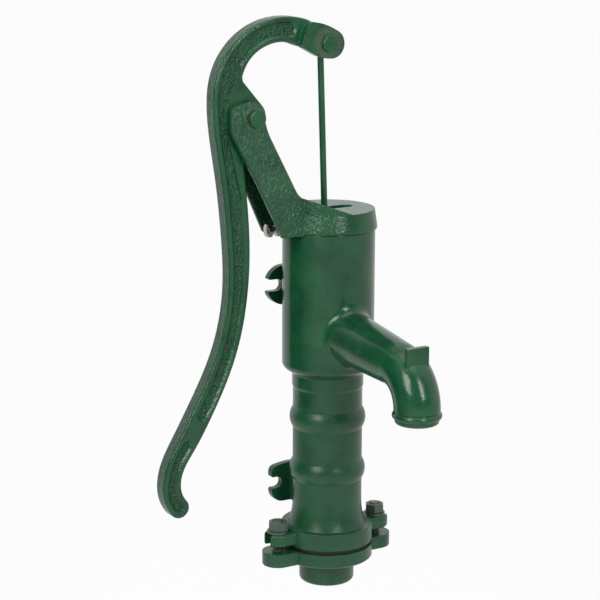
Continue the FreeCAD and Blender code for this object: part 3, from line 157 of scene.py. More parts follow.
fill = add_node(room, "ShaderNodeBackground", inputs={"Color": WHITE, "Strength": ROOM_FILL})
backdrop = add_node(room, "ShaderNodeBackground", inputs={"Color": WHITE, "Strength": level.outputs[0]})
both = add_node(room, "ShaderNodeMixShader",
                inputs={0: as_backdrop.outputs[0], 1: fill.outputs[0], 2: backdrop.outputs[0]})
add_node(room, "ShaderNodeOutputWorld", inputs={"Surface": both.outputs[0]})
print("room light on the paint", ROOM_FILL, "dim side in the gloss", DIM_SIDE)

# %% [markdown]
# ## Floor
# The floor lies well below the pump, which hangs on a wall, and is pale and matt. For the camera and for
# the gloss of the paint it glows nearly white, so that it runs into the backdrop, and the rest of it is a
# real surface that keeps a faint shadow.

# %% Floor
FLOOR_DROP = 0.30
FLOOR_RADIUS = 12
FLOOR_SIDES = 96
FLOOR_GLOW = 0.95
FLOOR_MIRRORED = 0.75

bpy.ops.mesh.primitive_circle_add(vertices=FLOOR_SIDES, radius=FLOOR_RADIUS, fill_type="NGON",
                                  location=(0, 0, -FLOOR_DROP))
floor = bpy.context.object
floor.name = "studio_floor"
floor_finish, tree = new_material("matt_white_floor")
rays = add_node(tree, "ShaderNodeLightPath")
matt = add_node(tree, "ShaderNodeBsdfPrincipled", inputs={"Base Color": paint("#F4F4F2"), "Roughness": 0.9})
glow = add_node(tree, "ShaderNodeEmission", inputs={"Color": WHITE, "Strength": 1.0})
for_camera = add_node(tree, "ShaderNodeMath", {"operation": "MULTIPLY"},
                      {0: rays.outputs["Is Camera Ray"], 1: FLOOR_GLOW})
share = add_node(tree, "ShaderNodeMath", {"operation": "MULTIPLY_ADD"},
                 {0: rays.outputs["Is Glossy Ray"], 1: FLOOR_MIRRORED, 2: for_camera.outputs[0]})
mixed = add_node(tree, "ShaderNodeMixShader",
                 inputs={0: share.outputs[0], 1: matt.outputs[0], 2: glow.outputs[0]})
add_node(tree, "ShaderNodeOutputMaterial", inputs={"Surface": mixed.outputs[0]})
floor.data.materials.append(floor_finish)
print("floor at", -FLOOR_DROP, "m")

# %% [markdown]
# ## Lamps and a black card
# Two upright soft boxes stand left and right of the camera, the left one wider, as in a product studio:
# their reflections are the two bright windows on the bend of the spout. A broad lamp above lights the
# cap. Round glossy things in a white room look flat, so photographers stand a black card beside them:
# here it draws the dark stripe down the left side of the barrel.

# %% Lamps beside the camera
AIM_HEIGHT = 0.3


def way_round(round_degrees, up_degrees):
    """Direction from the pump, turned from the camera's heading and lifted."""
    turned = CAMERA_HEADING + math.radians(round_degrees)
    lift = math.radians(up_degrees)
    return Vector((math.sin(turned) * math.cos(lift), -math.cos(turned) * math.cos(lift), math.sin(lift)))


def facing_pump(round_degrees, up_degrees, away):
    """Placement of a flat thing that faces the pump's middle from that direction."""
    way = way_round(round_degrees, up_degrees)
    place = Matrix.Translation(Vector((0, 0, AIM_HEIGHT)) + way * away)
    return place @ way.to_track_quat("Z", "Y").to_matrix().to_4x4()


def soft_box(name, round_degrees, up_degrees, away, width, height, watts):
    """A rectangular lamp aimed at the pump's middle."""
    lamp_data = bpy.data.lights.new(name, "AREA")
    lamp_data.shape = "RECTANGLE"
    lamp_data.size = width
    lamp_data.size_y = height
    lamp_data.energy = watts
    lamp = bpy.data.objects.new(name, lamp_data)
    bpy.context.scene.collection.objects.link(lamp)
    lamp.matrix_world = facing_pump(round_degrees, up_degrees, away)


soft_box("left_window", round_degrees=-35, up_degrees=27, away=1.7, width=0.68, height=0.9, watts=16)
soft_box("right_window", round_degrees=31, up_degrees=26, away=1.7, width=0.38, height=1.0, watts=12)
soft_box("top_light", round_degrees=0, up_degrees=78, away=1.6, width=1.2, height=1.2, watts=6)

# %% The black card on the left
CARD_WIDTH = 2.3
CARD_HEIGHT = 2.6
# Where the card's edge starts to fade and where it is gone, in card widths from its middle
FADE_START = -0.1
FADE_END = 0.5

bpy.ops.mesh.primitive_plane_add(size=1)
card = bpy.context.object
card.name = "black_card"
card_place = facing_pump(round_degrees=-70, up_degrees=0, away=1.3)
card.matrix_world = card_place @ Matrix.Diagonal((CARD_WIDTH, CARD_HEIGHT, 1, 1))
card.visible_camera = False
card.visible_diffuse = False
card.visible_shadow = False
card_finish, tree = new_material("black_card")
felt = add_node(tree, "ShaderNodeBsdfPrincipled", inputs={"Base Color": paint("#060606"), "Roughness": 1.0})
place = add_node(tree, "ShaderNodeTexCoord").outputs["Object"]
across = add_node(tree, "ShaderNodeSeparateXYZ", inputs={0: place})
feather = add_node(tree, "ShaderNodeMapRange",
                   inputs={"Value": across.outputs["X"], "From Min": FADE_START, "From Max": FADE_END})
gone = add_node(tree, "ShaderNodeBsdfTransparent")
soft = add_node(tree, "ShaderNodeMixShader",
                inputs={0: feather.outputs[0], 1: felt.outputs[0], 2: gone.outputs[0]})
add_node(tree, "ShaderNodeOutputMaterial", inputs={"Surface": soft.outputs[0]})
card.data.materials.append(card_finish)
print("card is", [round(side, 2) for side in card.dimensions], "m")

# %% [markdown]
# ## Where a finish changes
# A finish changes across a casting: a thread is cut only inside the inlet, a panel's floor is rougher
# than its rim, and paint wears off where the pins work. Each of the next functions gives a value over a
# piece, by the place of the point that is shaded: high where the finish changes, and 0 elsewhere.


# %% Places on the pump
def middle_of(name):
    """The middle of a node's box."""
    low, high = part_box(name)
    return (low + high) / 2


PIVOT = middle_of("pivot_pin")
ROD_PIN = middle_of("rod_pin")
# The lever's panels, by their distance from its middle plane: floors within the first, rims beyond the second
PANEL_FLOOR = 6.7 * MM
PANEL_WALL = 7.4 * MM
# A G 1 1/4 pipe thread, and the bore and depth that it is cut in
PIPE_PITCH = 2.309
PIPE_THREAD_DEEP = 1.479 * MM
INLET_BORE = 20.5 * MM
INLET_DEPTH = 24 * MM
for name, pin in (("pivot", PIVOT), ("rod pin", ROD_PIN)):
    print(name, "at", [round(value / MM, 1) for value in pin], "mm")


# %% Masks
def on_panel_floor(tree, place):
    """1 on the floors of the lever's panels, 0 on its rims."""
    axes = add_node(tree, "ShaderNodeSeparateXYZ", inputs={0: place})
    out = add_node(tree, "ShaderNodeMath", {"operation": "ABSOLUTE"}, {0: axes.outputs["Y"]})
    near = add_node(tree, "ShaderNodeMapRange", {"interpolation_type": "SMOOTHSTEP"},
                    {"Value": out.outputs[0], "From Min": PANEL_FLOOR, "From Max": PANEL_WALL,
                     "To Min": 1.0, "To Max": 0.0})
    return near.outputs[0]


def up_to(axis, full_mm, none_mm):
    """A mask that is 1 up to one place on an axis and fades to 0 at another."""
    def mask(tree, place):
        axes = add_node(tree, "ShaderNodeSeparateXYZ", inputs={0: place})
        near = add_node(tree, "ShaderNodeMapRange", {"interpolation_type": "SMOOTHSTEP"},
                        {"Value": axes.outputs[axis], "From Min": full_mm * MM, "From Max": none_mm * MM,
                         "To Min": 1.0, "To Max": 0.0})
        return near.outputs[0]
    return mask


def round_pin(pin, full_mm, none_mm):
    """A mask that is 1 within full_mm of a pin's axis and fades to 0 at none_mm."""
    def mask(tree, place):
        flat = add_node(tree, "ShaderNodeVectorMath", {"operation": "MULTIPLY"}, {0: place, 1: (1, 0, 1)})
        gap = add_node(tree, "ShaderNodeVectorMath", {"operation": "DISTANCE"},
                       {0: flat.outputs[0], 1: (pin.x, 0, pin.z)})
        near = add_node(tree, "ShaderNodeMapRange", {"interpolation_type": "SMOOTHSTEP"},
                        {"Value": gap.outputs["Value"], "From Min": full_mm * MM, "From Max": none_mm * MM,
                         "To Min": 1.0, "To Max": 0.0})
        return near.outputs[0]
    return mask


print("masks: panel floors, along an axis, round a pin")


# %% The pipe thread as a height
def inlet_thread(tree, place):
    """Height of the pipe thread inside the inlet, up and down once in each pitch, and 0 elsewhere."""
    axes = add_node(tree, "ShaderNodeSeparateXYZ", inputs={0: place})
    angle = add_node(tree, "ShaderNodeMath", {"operation": "ARCTAN2"},
                     {0: axes.outputs["Y"], 1: axes.outputs["X"]})
    turn_share = add_node(tree, "ShaderNodeMath", {"operation": "DIVIDE"}, {0: angle.outputs[0], 1: math.tau})
    climb = add_node(tree, "ShaderNodeMath", {"operation": "MULTIPLY_ADD"},
                     {0: axes.outputs["Z"], 1: per_mm(PIPE_PITCH), 2: turn_share.outputs[0]})
    ridge = add_node(tree, "ShaderNodeMath", {"operation": "PINGPONG"}, {0: climb.outputs[0], 1: 0.5})
    flat = add_node(tree, "ShaderNodeVectorMath", {"operation": "MULTIPLY"}, {0: place, 1: (1, 1, 0)})
    out = add_node(tree, "ShaderNodeVectorMath", {"operation": "LENGTH"}, {0: flat.outputs[0]})
    bore = add_node(tree, "ShaderNodeMath", {"operation": "LESS_THAN"},
                    {0: out.outputs["Value"], 1: INLET_BORE})
    low = add_node(tree, "ShaderNodeMath", {"operation": "LESS_THAN"},
                   {0: axes.outputs["Z"], 1: INLET_DEPTH})
    inside = add_node(tree, "ShaderNodeMath", {"operation": "MULTIPLY"},
                      {0: bore.outputs[0], 1: low.outputs[0]})
    grooves = add_node(tree, "ShaderNodeMath", {"operation": "MULTIPLY"},
                       {0: ridge.outputs[0], 1: inside.outputs[0]})
    return grooves.outputs[0]


print("pipe thread: pitch", PIPE_PITCH, "mm, depth", round(PIPE_THREAD_DEEP / MM, 3), "mm")

# %% [markdown]
# ## Enamel on cast iron
# The whole casting is brushed with alkyd enamel, a dark bottle green. Enamel is a clear resin full of
# pigment, so it reflects like a dielectric with an IOR near 1.5 and is glossiest where it lies thick.
# Under it is sand-cast iron: its skin has grains of one to four millimetres, which the paint softens but
# doesn't hide. The cylinder and barrel come out of a smooth mould, while the bracket and the floors of
# the lever's panels stay rough. So one function makes the finish, and is told how coarse the skin is, how
# deep, and where the paint has worn. Three smaller ones make its colour, its skin and its wear.

# %% Green from the brush
ENAMEL_GREEN = "#12472C"
ENAMEL_DEEP = "#0E3D25"
ENAMEL_PALE = "#1A4F2F"
BRUSH_MM = 30
# Where in the noise the deep green ends, the middle green lies and the pale green starts
DEEP_UP_TO = 0.32
GREEN_AT = 0.5
PALE_FROM = 0.7


def brushed_green(tree, place):
    """Colour of the enamel: the brush leaves deeper and paler patches about as wide as itself."""
    patches = add_node(tree, "ShaderNodeTexNoise",
                       inputs={"Vector": place, "Scale": per_mm(BRUSH_MM), "Detail": 3.0, "Roughness": 0.6})
    shade = add_node(tree, "ShaderNodeValToRGB", inputs={"Fac": patches.outputs["Fac"]})
    shade.color_ramp.elements[0].position = DEEP_UP_TO
    shade.color_ramp.elements[0].color = paint(ENAMEL_DEEP)
    shade.color_ramp.elements[1].position = PALE_FROM
    shade.color_ramp.elements[1].color = paint(ENAMEL_PALE)
    shade.color_ramp.elements.new(GREEN_AT).color = paint(ENAMEL_GREEN)
    return shade.outputs["Color"]


print("greens", ENAMEL_DEEP, ENAMEL_GREEN, ENAMEL_PALE)

# %% The sand-cast skin under the paint
GRAIN_SHARE_WHERE_SMOOTH = 0.14
WAVE_MM = 6
WAVE_DEEP_MM = 0.16


def casting_skin(tree, place, grain, grain_deep_mm, edge_mm, rough_where):
    """Normal of the painted skin: rounded edges, the sand's grain, and the long waves of levelled paint."""
    height = grain.outputs["Fac"]
    if rough_where:
        depth = add_node(tree, "ShaderNodeMapRange",
                         inputs={"Value": rough_where(tree, place), "To Min": GRAIN_SHARE_WHERE_SMOOTH})
        height = add_node(tree, "ShaderNodeMath", {"operation": "MULTIPLY"},
                          {0: height, 1: depth.outputs[0]}).outputs[0]
    rounded = add_node(tree, "ShaderNodeBevel", {"samples": 6}, {"Radius": edge_mm * MM})
    coarse = add_node(tree, "ShaderNodeBump", inputs={"Strength": 1.0, "Distance": grain_deep_mm * MM,
                                                      "Height": height, "Normal": rounded.outputs[0]})
    waves = add_node(tree, "ShaderNodeTexNoise",
                     inputs={"Vector": place, "Scale": per_mm(WAVE_MM), "Detail": 1.0, "Roughness": 0.4})
    fine = add_node(tree, "ShaderNodeBump",
                    inputs={"Strength": 1.0, "Distance": WAVE_DEEP_MM * MM,
                            "Height": waves.outputs["Fac"], "Normal": coarse.outputs[0]})
    return fine.outputs[0]


print("grain on smooth places is", GRAIN_SHARE_WHERE_SMOOTH, "of its full depth")

# %% Paint worn off round the pins
BARE_IRON = "#615F53"
BARE_ROUGHNESS = 0.5
WORN_AT_MOST = 0.4
SPECK_MM = 5
# The mask and the specks are added up: wear starts at the first sum and is full at the second
WEAR_STARTS = 1.0
WEAR_FULL = 1.65


def worn_off(tree, place, worn_where, colour, rough):
    """Colour and roughness again, with specks of bare iron where the mask says."""
    specks = add_node(tree, "ShaderNodeTexNoise",
                      inputs={"Vector": place, "Scale": per_mm(SPECK_MM), "Detail": 5.0, "Roughness": 0.65})
    reach = add_node(tree, "ShaderNodeMath", {"operation": "ADD"},
                     {0: worn_where(tree, place), 1: specks.outputs["Fac"]})
    worn = add_node(tree, "ShaderNodeMapRange", {"interpolation_type": "SMOOTHSTEP"},
                    {"Value": reach.outputs[0], "From Min": WEAR_STARTS, "From Max": WEAR_FULL,
                     "To Min": 0.0, "To Max": WORN_AT_MOST})
    colour = add_node(tree, "ShaderNodeMix", {"data_type": "RGBA"},
                      {"Factor": worn.outputs[0], 6: colour, 7: paint(BARE_IRON)}).outputs[2]
    rough = add_node(tree, "ShaderNodeMix", {"data_type": "FLOAT"},
                     {"Factor": worn.outputs[0], 2: rough, 3: BARE_ROUGHNESS}).outputs[0]
    return colour, rough


print("bare iron", BARE_IRON, "shows by", WORN_AT_MOST, "at most")

# %% Enamel over a sand-cast skin
ENAMEL_IOR = 1.46
# How far the roughness falls and rises with the grain, and what a matt place adds to it
GLOSSIER = 0.05
DULLER = 0.07
MATT_ADDED = 0.16


def enamel(name, grain_mm, grain_deep_mm, roughness, edge_mm, rough_where=None, matt_where=None,
           worn_where=None, threaded=False):
    """Green enamel over sand-cast iron; the last four say where it is rough, matt, worn and threaded."""
    material, tree = new_material(name)
    place = add_node(tree, "ShaderNodeTexCoord").outputs["Object"]
    grain = add_node(tree, "ShaderNodeTexNoise",
                     inputs={"Vector": place, "Scale": per_mm(grain_mm), "Detail": 2.5, "Roughness": 0.55})
    normal = casting_skin(tree, place, grain, grain_deep_mm, edge_mm, rough_where)
    if threaded:
        # The thread's height only goes up to a half, so its depth is given twice
        normal = add_node(tree, "ShaderNodeBump",
                          inputs={"Strength": 1.0, "Distance": 2 * PIPE_THREAD_DEEP,
                                  "Height": inlet_thread(tree, place), "Normal": normal}).outputs[0]
    gloss = add_node(tree, "ShaderNodeMapRange",
                     inputs={"Value": grain.outputs["Fac"], "From Min": NOISE_LOW, "From Max": NOISE_HIGH,
                             "To Min": roughness - GLOSSIER, "To Max": roughness + DULLER})
    rough = gloss.outputs[0]
    colour = brushed_green(tree, place)
    if matt_where:
        rough = add_node(tree, "ShaderNodeMath", {"operation": "MULTIPLY_ADD"},
                         {0: matt_where(tree, place), 1: MATT_ADDED, 2: rough}).outputs[0]
    if worn_where:
        colour, rough = worn_off(tree, place, worn_where, colour, rough)
    surface = add_node(tree, "ShaderNodeBsdfPrincipled",
                       inputs={"Base Color": colour, "Roughness": rough, "IOR": ENAMEL_IOR, "Normal": normal})
    add_node(tree, "ShaderNodeOutputMaterial", inputs={"Surface": surface.outputs[0]})
    return material


def dress(material, *names):
    """Give nodes this material; their meshes stay as they came."""
    for name in names:
        piece = nodes[name]
        piece.data.materials.clear()
        piece.data.materials.append(material)


print("one enamel for every casting, told apart by its skin")

# %% [markdown]
# ### The castings and their pins
# The body is smooth, and its lower cylinder, up to where the barrel begins, is duller than the rest. The
# flange has a little grain. The bracket is the roughest, and gets smoother towards the right side of the
# cap. The lever is rough on the floors of its panels and smooth on its rims. Pins and rod were painted
# with the castings, and the paint is worn where bracket and fork rub on their pins.

# %% Enamel on the castings, pins and rod
cylinder_height = up_to("Z", full_mm=196, none_mm=210)
bracket_side = up_to("X", full_mm=-50, none_mm=5)
dress(enamel("enamel_on_smooth_casting", grain_mm=1.8, grain_deep_mm=0.1, roughness=0.17, edge_mm=1.8,
             matt_where=cylinder_height), "pump_body")
dress(enamel("enamel_on_flange_casting", grain_mm=1.8, grain_deep_mm=0.2, roughness=0.28, edge_mm=1.2,
             threaded=True), "base_flange")
dress(enamel("enamel_on_bracket_casting", grain_mm=3.8, grain_deep_mm=1.9, roughness=0.25, edge_mm=1.8,
             rough_where=bracket_side, worn_where=round_pin(PIVOT, full_mm=9, none_mm=20)), "cap_bracket")
dress(enamel("enamel_on_lever", grain_mm=2.8, grain_deep_mm=4.0, roughness=0.14, edge_mm=0.9,
             rough_where=on_panel_floor, worn_where=round_pin(ROD_PIN, full_mm=12, none_mm=30)), "handle")
dress(enamel("enamel_on_pins_and_rod", grain_mm=3.0, grain_deep_mm=0.1, roughness=0.16, edge_mm=0.6),
      "pivot_pin", "rod_pin", "piston_rod")
print("enamel on", [name for name in nodes if nodes[name].data.materials[0].name.startswith("enamel")])

# %% [markdown]
# ## Steel, zinc, iron and brass
# The set screw, its nut and the small parts of the foot valve are plated with zinc that has gone dull.
# The flange bolts, nuts and washers were brushed over thinly with the same green, and grey steel shows
# through it in spots. The split pins are bent from spring wire. The valve in the piston is turned brass,
# and the plates round it are bare iron. All of them are a bright and a dull colour in spots, so one
# function makes them.

# %% Metals
METAL_EDGE_MM = 0.35
METAL_GRAIN_DEEP_MM = 0.08
METAL_GLOSSIER = 0.08
METAL_DULLER = 0.12


def worn_metal(name, bright, dull, metallic, roughness, spot_mm):
    """Metal whose bright surface has dull spots, with a fine scratchy grain."""
    material, tree = new_material(name)
    place = add_node(tree, "ShaderNodeTexCoord").outputs["Object"]
    spots = add_node(tree, "ShaderNodeTexNoise",
                     inputs={"Vector": place, "Scale": per_mm(spot_mm), "Detail": 4.0, "Roughness": 0.6})
    tone = add_node(tree, "ShaderNodeMix", {"data_type": "RGBA"},
                    {"Factor": spots.outputs["Fac"], 6: paint(bright), 7: paint(dull)})
    gloss = add_node(tree, "ShaderNodeMapRange",
                     inputs={"Value": spots.outputs["Fac"], "From Min": NOISE_LOW, "From Max": NOISE_HIGH,
                             "To Min": roughness - METAL_GLOSSIER, "To Max": roughness + METAL_DULLER})
    rounded = add_node(tree, "ShaderNodeBevel", {"samples": 4}, {"Radius": METAL_EDGE_MM * MM})
    bump = add_node(tree, "ShaderNodeBump",
                    inputs={"Strength": 1.0, "Distance": METAL_GRAIN_DEEP_MM * MM,
                            "Height": spots.outputs["Fac"], "Normal": rounded.outputs[0]})
    surface = add_node(tree, "ShaderNodeBsdfPrincipled",
                       inputs={"Base Color": tone.outputs[2], "Metallic": metallic,
                               "Roughness": gloss.outputs[0], "Normal": bump.outputs[0]})
    add_node(tree, "ShaderNodeOutputMaterial", inputs={"Surface": surface.outputs[0]})
    return material


zinc = worn_metal("dull_zinc_plate", "#D8D7D2", "#96958E", metallic=1.0, roughness=0.26, spot_mm=1.5)
painted_steel = worn_metal("painted_over_steel", "#5C6B61", "#24382C", metallic=0.2, roughness=0.36,
                           spot_mm=1.6)
wire = worn_metal("spring_steel_wire", "#8F8F8A", "#5A5A56", metallic=1.0, roughness=0.4, spot_mm=0.8)
bare_iron = worn_metal("bare_cast_iron", "#4A4A49", "#2E2D2B", metallic=0.6, roughness=0.5, spot_mm=2.0)
brass = worn_metal("turned_brass", "#C79A4B", "#8C6A2E", metallic=1.0, roughness=0.3, spot_mm=3.0)
dress(zinc, "clack_screw", "clack_washer", "pivot_washer")
dress(painted_steel, "flange_washers")
dress(wire, "pivot_split_pin", "rod_split_pin")
dress(bare_iron, "piston_yoke", "piston_follower", "clack_weight")
dress(brass, "piston_valve")
print("zinc, painted steel, wire, iron and brass")

# %% [markdown]
# ## Leather
# Three pieces are cut from thick black leather: the gasket, the flap of the foot valve and the cup that
# seals the piston. Leather soaked in grease is nearly black, and its grain is a field of small pebbles,
# which is what a Voronoi pattern draws.

# %% Greased leather
PEBBLE_MM = 1.2
PEBBLE_DEEP_MM = 0.2
GREASE_MM = 9


def greased_leather(name):
    """Black leather with a pebbled grain, shiny with grease."""
    material, tree = new_material(name)
    place = add_node(tree, "ShaderNodeTexCoord").outputs["Object"]
    pebbles = add_node(tree, "ShaderNodeTexVoronoi", {"feature": "SMOOTH_F1"},
                       {"Vector": place, "Scale": per_mm(PEBBLE_MM), "Smoothness": 0.6})
    grease = add_node(tree, "ShaderNodeTexNoise",
                      inputs={"Vector": place, "Scale": per_mm(GREASE_MM), "Detail": 3.0})
    tone = add_node(tree, "ShaderNodeMix", {"data_type": "RGBA"},
                    {"Factor": grease.outputs["Fac"], 6: paint("#0D0B09"), 7: paint("#1A1612")})
    bump = add_node(tree, "ShaderNodeBump", inputs={"Strength": 0.8, "Distance": PEBBLE_DEEP_MM * MM,
                                                    "Height": pebbles.outputs["Distance"]})
    surface = add_node(tree, "ShaderNodeBsdfPrincipled",
                       inputs={"Base Color": tone.outputs[2], "Roughness": 0.5, "Normal": bump.outputs[0]})
    add_node(tree, "ShaderNodeOutputMaterial", inputs={"Surface": surface.outputs[0]})
    return material


dress(greased_leather("greased_leather"), "flange_gasket", "clack_flap", "piston_cup_leather")
print(len(bpy.data.materials), "materials")

# %% [markdown]
# ## Screws and nuts with real chamfers and threads
# A nut is cut from hexagon bar. Its corners are then turned off at a slant, which leaves a curved edge on
# every side: the shape that a hexagonal prism and a turned blank have in common. So both are modelled,
# and a Boolean keeps what lies in both. A thread is one ridge that winds round a core: a triangle, given
# to the Screw modifier with the pitch as its rise for each turn.


# %% Helpers for modelling
def pick(piece):
    """Select one piece alone and make it active."""
    bpy.ops.object.select_all(action="DESELECT")
    piece.select_set(True)
    bpy.context.view_layer.objects.active = piece


def apply_modifier(piece, kind, **settings):
    """Give a piece a modifier and apply it."""
    pick(piece)
    bpy.ops.object.modifier_add(type=kind)
    modifier = piece.modifiers[-1]
    for name, value in settings.items():
        setattr(modifier, name, value)
    bpy.ops.object.modifier_apply(modifier=modifier.name)


def cut(piece, tool, operation):
    """Take a tool from a piece, or keep what the two share, and throw the tool away."""
    apply_modifier(piece, "BOOLEAN", operation=operation, solver="EXACT", object=tool)
    bpy.data.objects.remove(tool)


def select_faces(piece, wanted):
    """Enter edit mode with the faces that wanted(face) accepts, and nothing else, selected."""
    pick(piece)
    bpy.ops.object.mode_set(mode="EDIT")
    bpy.ops.mesh.select_mode(type="FACE")
    bpy.ops.mesh.select_all(action="DESELECT")
    bpy.ops.object.mode_set(mode="OBJECT")
    for face in piece.data.polygons:
        face.select = wanted(face)
    bpy.ops.object.mode_set(mode="EDIT")


print("helpers: pick, apply_modifier, cut, select_faces")

# %% A hexagon blank with turned-off corners
# The turned blank is a touch wider than the corners, and its round end a little narrower than the flats
BLANK_ROOM = 1.01
FLAT_SHARE = 0.94
CHAMFER = math.radians(30)
BLANK_SIDES = 72
# A face looks along the axis when its normal has more than this share on it
LOOKS_ALONG = 0.9


def hex_blank(across, height, both_ends=True):
    """A hexagon prism on z = 0 whose corners are turned off at its top, and at its foot too if asked."""
    corner_r = across / math.sqrt(3)
    bar_r = BLANK_ROOM * corner_r
    flat_r = FLAT_SHARE * across / 2
    rise = (bar_r - flat_r) * math.tan(CHAMFER)
    middle = (0, 0, height / 2)
    bpy.ops.mesh.primitive_cylinder_add(vertices=6, radius=corner_r, depth=height, location=middle)
    prism = bpy.context.object
    bpy.ops.mesh.primitive_cylinder_add(vertices=BLANK_SIDES, radius=bar_r, depth=height - 2 * rise,
                                        location=middle)
    blank = bpy.context.object
    for side in (1, -1):
        taper = flat_r / bar_r if side == 1 or both_ends else 1
        select_faces(blank, lambda face: face.normal.z * side > LOOKS_ALONG)
        bpy.ops.mesh.extrude_region_move(TRANSFORM_OT_translate={"value": (0, 0, side * rise)})
        bpy.ops.transform.resize(value=(taper, taper, 1))
        bpy.ops.object.mode_set(mode="OBJECT")
    cut(prism, blank, "INTERSECT")
    bpy.ops.object.transform_apply(location=True, rotation=True, scale=True)
    return prism


print("a blank's corners are turned off at", round(math.degrees(CHAMFER)), "degrees")

# %% A rod with a winding thread
# How deep a thread is for its pitch, and how wide the chamfers of the core are for that depth
THREAD_PER_PITCH = 0.6
CHAMFER_PER_THREAD = 0.8
ROUND_SIDES = 48
STEPS_PER_TURN = 32


def threaded_rod(radius, pitch, low, high):
    """A rod on the z axis from low to high with one winding ridge, chamfered at both ends."""
    depth = THREAD_PER_PITCH * pitch
    core_r = radius - depth
    bpy.ops.mesh.primitive_cylinder_add(vertices=ROUND_SIDES, radius=core_r, depth=high - low,
                                        location=(0, 0, (low + high) / 2))
    core = bpy.context.object
    # A triangle as high as the thread is deep, with its foot on the core and its middle a third of the way up
    bpy.ops.mesh.primitive_circle_add(vertices=3, radius=depth / 1.5, fill_type="NOTHING",
                                      location=(core_r + depth / 3, 0, low + pitch / 2),
                                      rotation=(math.pi / 2, math.pi / 2, 0))
    ridge = bpy.context.object
    bpy.ops.object.transform_apply(location=True, rotation=True, scale=True)
    turns = math.floor((high - low) / pitch) - 1
    apply_modifier(ridge, "SCREW", axis="Z", angle=math.tau, screw_offset=pitch, iterations=turns,
                   steps=STEPS_PER_TURN, render_steps=STEPS_PER_TURN, use_merge_vertices=False)
    # The ridge is open where it starts and where it ends, so both ends get a face
    bpy.ops.object.mode_set(mode="EDIT")
    bpy.ops.mesh.select_mode(type="EDGE")
    bpy.ops.mesh.select_all(action="DESELECT")
    bpy.ops.mesh.select_non_manifold()
    bpy.ops.mesh.edge_face_add()
    bpy.ops.object.mode_set(mode="OBJECT")
    select_faces(core, lambda face: abs(face.normal.z) > LOOKS_ALONG)
    bpy.ops.mesh.bevel(offset=CHAMFER_PER_THREAD * depth, segments=1, affect="EDGES")
    bpy.ops.object.mode_set(mode="OBJECT")
    return [core, ridge]


print("a thread is", THREAD_PER_PITCH, "of its pitch deep")

# %% [markdown]
# ### A whole screw and a bored nut
# The pump has two kinds of hexagon screw and two kinds of nut, which differ only in their measures. A
# screw is a head with its turned-off side down and a threaded shank that stands on it. The shank bites
# half a millimetre into the head, so that no light comes through between them. A nut is a blank with its
# corners turned off at both ends, bored a hair wider than its thread.

# %% Screws and nuts
SHANK_BITE = 0.5 * MM
BORE_PLAY = 0.05 * MM
DRILL_LONG = 100 * MM
SMOOTH_BELOW = math.radians(32)


def screw_parts(across, head_high, thread_r, pitch, tip, turned=0.0):
    """A hexagon head on z = 0 with its corners turned by an angle, and the shank that rises to its tip."""
    head = hex_blank(across, head_high, both_ends=False)
    upside_down = Matrix.Translation((0, 0, head_high)) @ Matrix.Rotation(math.pi, 4, "X")
    head.matrix_world = upside_down @ Matrix.Rotation(turned, 4, "Z")
    return [head] + threaded_rod(thread_r, pitch, head_high - SHANK_BITE, tip)


def bored_nut(across, height, thread_r, turned=0.0):
    """A hexagon nut on z = 0, with its corners turned by an angle."""
    nut = hex_blank(across, height)
    nut.matrix_world = Matrix.Rotation(turned, 4, "Z")
    bpy.ops.mesh.primitive_cylinder_add(vertices=ROUND_SIDES, radius=thread_r + BORE_PLAY, depth=DRILL_LONG)
    cut(nut, bpy.context.object, "DIFFERENCE")
    return nut


def own_copy(piece):
    """A copy of a piece with its own mesh."""
    twin = piece.copy()
    twin.data = piece.data.copy()
    bpy.context.scene.collection.objects.link(twin)
    return twin


def finish_piece(name, parts, placement, node, body, material):
    """Join the parts, put them in place with the place in the mesh, and let them stand for a node."""
    pick(parts[0])
    for part in parts[1:]:
        part.select_set(True)
    if len(parts) > 1:
        bpy.ops.object.join()
    piece = bpy.context.object
    piece.name = name
    bpy.ops.object.transform_apply(location=True, rotation=True, scale=True)
    piece.matrix_world = placement
    bpy.ops.object.transform_apply(location=True, rotation=True, scale=True)
    bpy.ops.object.mode_set(mode="EDIT")
    bpy.ops.mesh.select_all(action="SELECT")
    bpy.ops.mesh.normals_make_consistent(inside=False)
    bpy.ops.object.mode_set(mode="OBJECT")
    bpy.ops.object.shade_smooth_by_angle(angle=SMOOTH_BELOW)
    piece.data.materials.clear()
    piece.data.materials.append(material)
    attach(piece, body)
    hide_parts(node)
    print(name, len(piece.data.polygons), "faces")


print("helpers: screw_parts, bored_nut, own_copy, finish_piece")

# %% [markdown]
# ### The cap's set screw
# An M8 screw clamps the cap on the barrel. Its head is 13 mm across the flats, and a few millimetres of
# bare thread show between the head and the lock nut. Both were plated with zinc.

# %% Set screw and lock nut
M8_PITCH = 1.25 * MM
M8_RADIUS = 4 * MM
HEX_M8 = 13 * MM
HEAD_M8 = 5.3 * MM
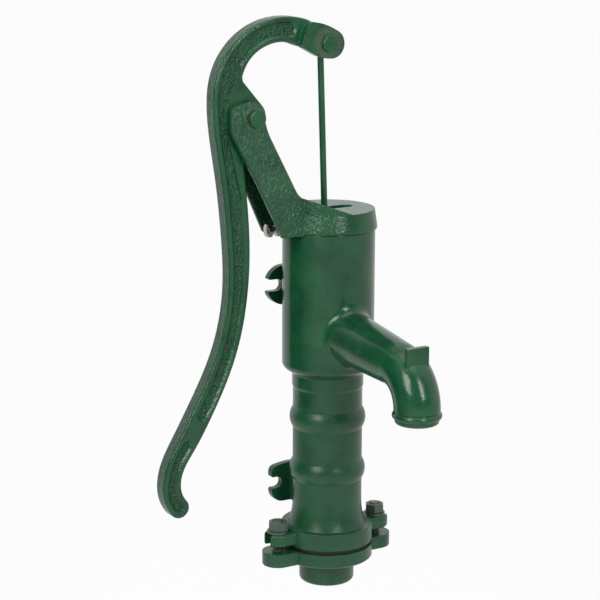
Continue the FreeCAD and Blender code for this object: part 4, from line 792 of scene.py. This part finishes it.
# The tip is hidden inside the cap and ends this much short of the construction model's
TIP_SHORT = 1 * MM
screw_low, screw_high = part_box("cap_set_screw")
nut_low, nut_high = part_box("set_screw_lock_nut")
screw_z = (screw_low.z + screw_high.z) / 2
pointing_right = Matrix.Rotation(math.pi / 2, 4, "Y")
screw = screw_parts(HEX_M8, HEAD_M8, M8_RADIUS, M8_PITCH, screw_high.x - screw_low.x - TIP_SHORT)
finish_piece("set_screw_m8", screw, Matrix.Translation((screw_low.x, 0, screw_z)) @ pointing_right,
             "cap_set_screw", "cap", zinc)
lock_nut = bored_nut(HEX_M8, nut_high.x - nut_low.x, M8_RADIUS)
finish_piece("lock_nut_m8", [lock_nut], Matrix.Translation((nut_low.x, 0, screw_z)) @ pointing_right,
             "set_screw_lock_nut", "cap", zinc)

# %% [markdown]
# ### Flange bolts and nuts
# Two M12 bolts hold the body on the inlet flange, with their heads below and their nuts on the body's
# ears. The bare thread shows in the gap between the two castings and at the tip. Each bolt and nut is
# modelled once, and the other side gets a copy with its own mesh.

# %% Bolts and nuts of the flange
M12_PITCH = 1.75 * MM
M12_RADIUS = 6 * MM
HEX_M12 = 19 * MM
NUT_M12 = 10 * MM
HEAD_M12 = 7.5 * MM
BOLT_X = 62 * MM
QUARTER_TURN = math.pi / 2
bolts_low, bolts_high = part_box("flange_bolts")
nuts_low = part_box("flange_nuts")[0]
bolt = screw_parts(HEX_M12, HEAD_M12, M12_RADIUS, M12_PITCH, bolts_high.z - bolts_low.z, QUARTER_TURN)
nut = bored_nut(HEX_M12, NUT_M12, M12_RADIUS, QUARTER_TURN)
sides = [("left", -BOLT_X, bolt, nut),
         ("right", BOLT_X, [own_copy(part) for part in bolt], own_copy(nut))]
for side, where, bolt_parts, nut_part in sides:
    finish_piece(f"flange_bolt_{side}", bolt_parts, Matrix.Translation((where, 0, bolts_low.z)),
                 "flange_bolts", "pump", painted_steel)
    finish_piece(f"flange_nut_{side}", [nut_part], Matrix.Translation((where, 0, nuts_low.z)),
                 "flange_nuts", "pump", painted_steel)

# %% [markdown]
# ## Finish
# The view is left plain, so that colours come out as written.

# %% The view
bpy.context.scene.view_settings.view_transform = "Standard"
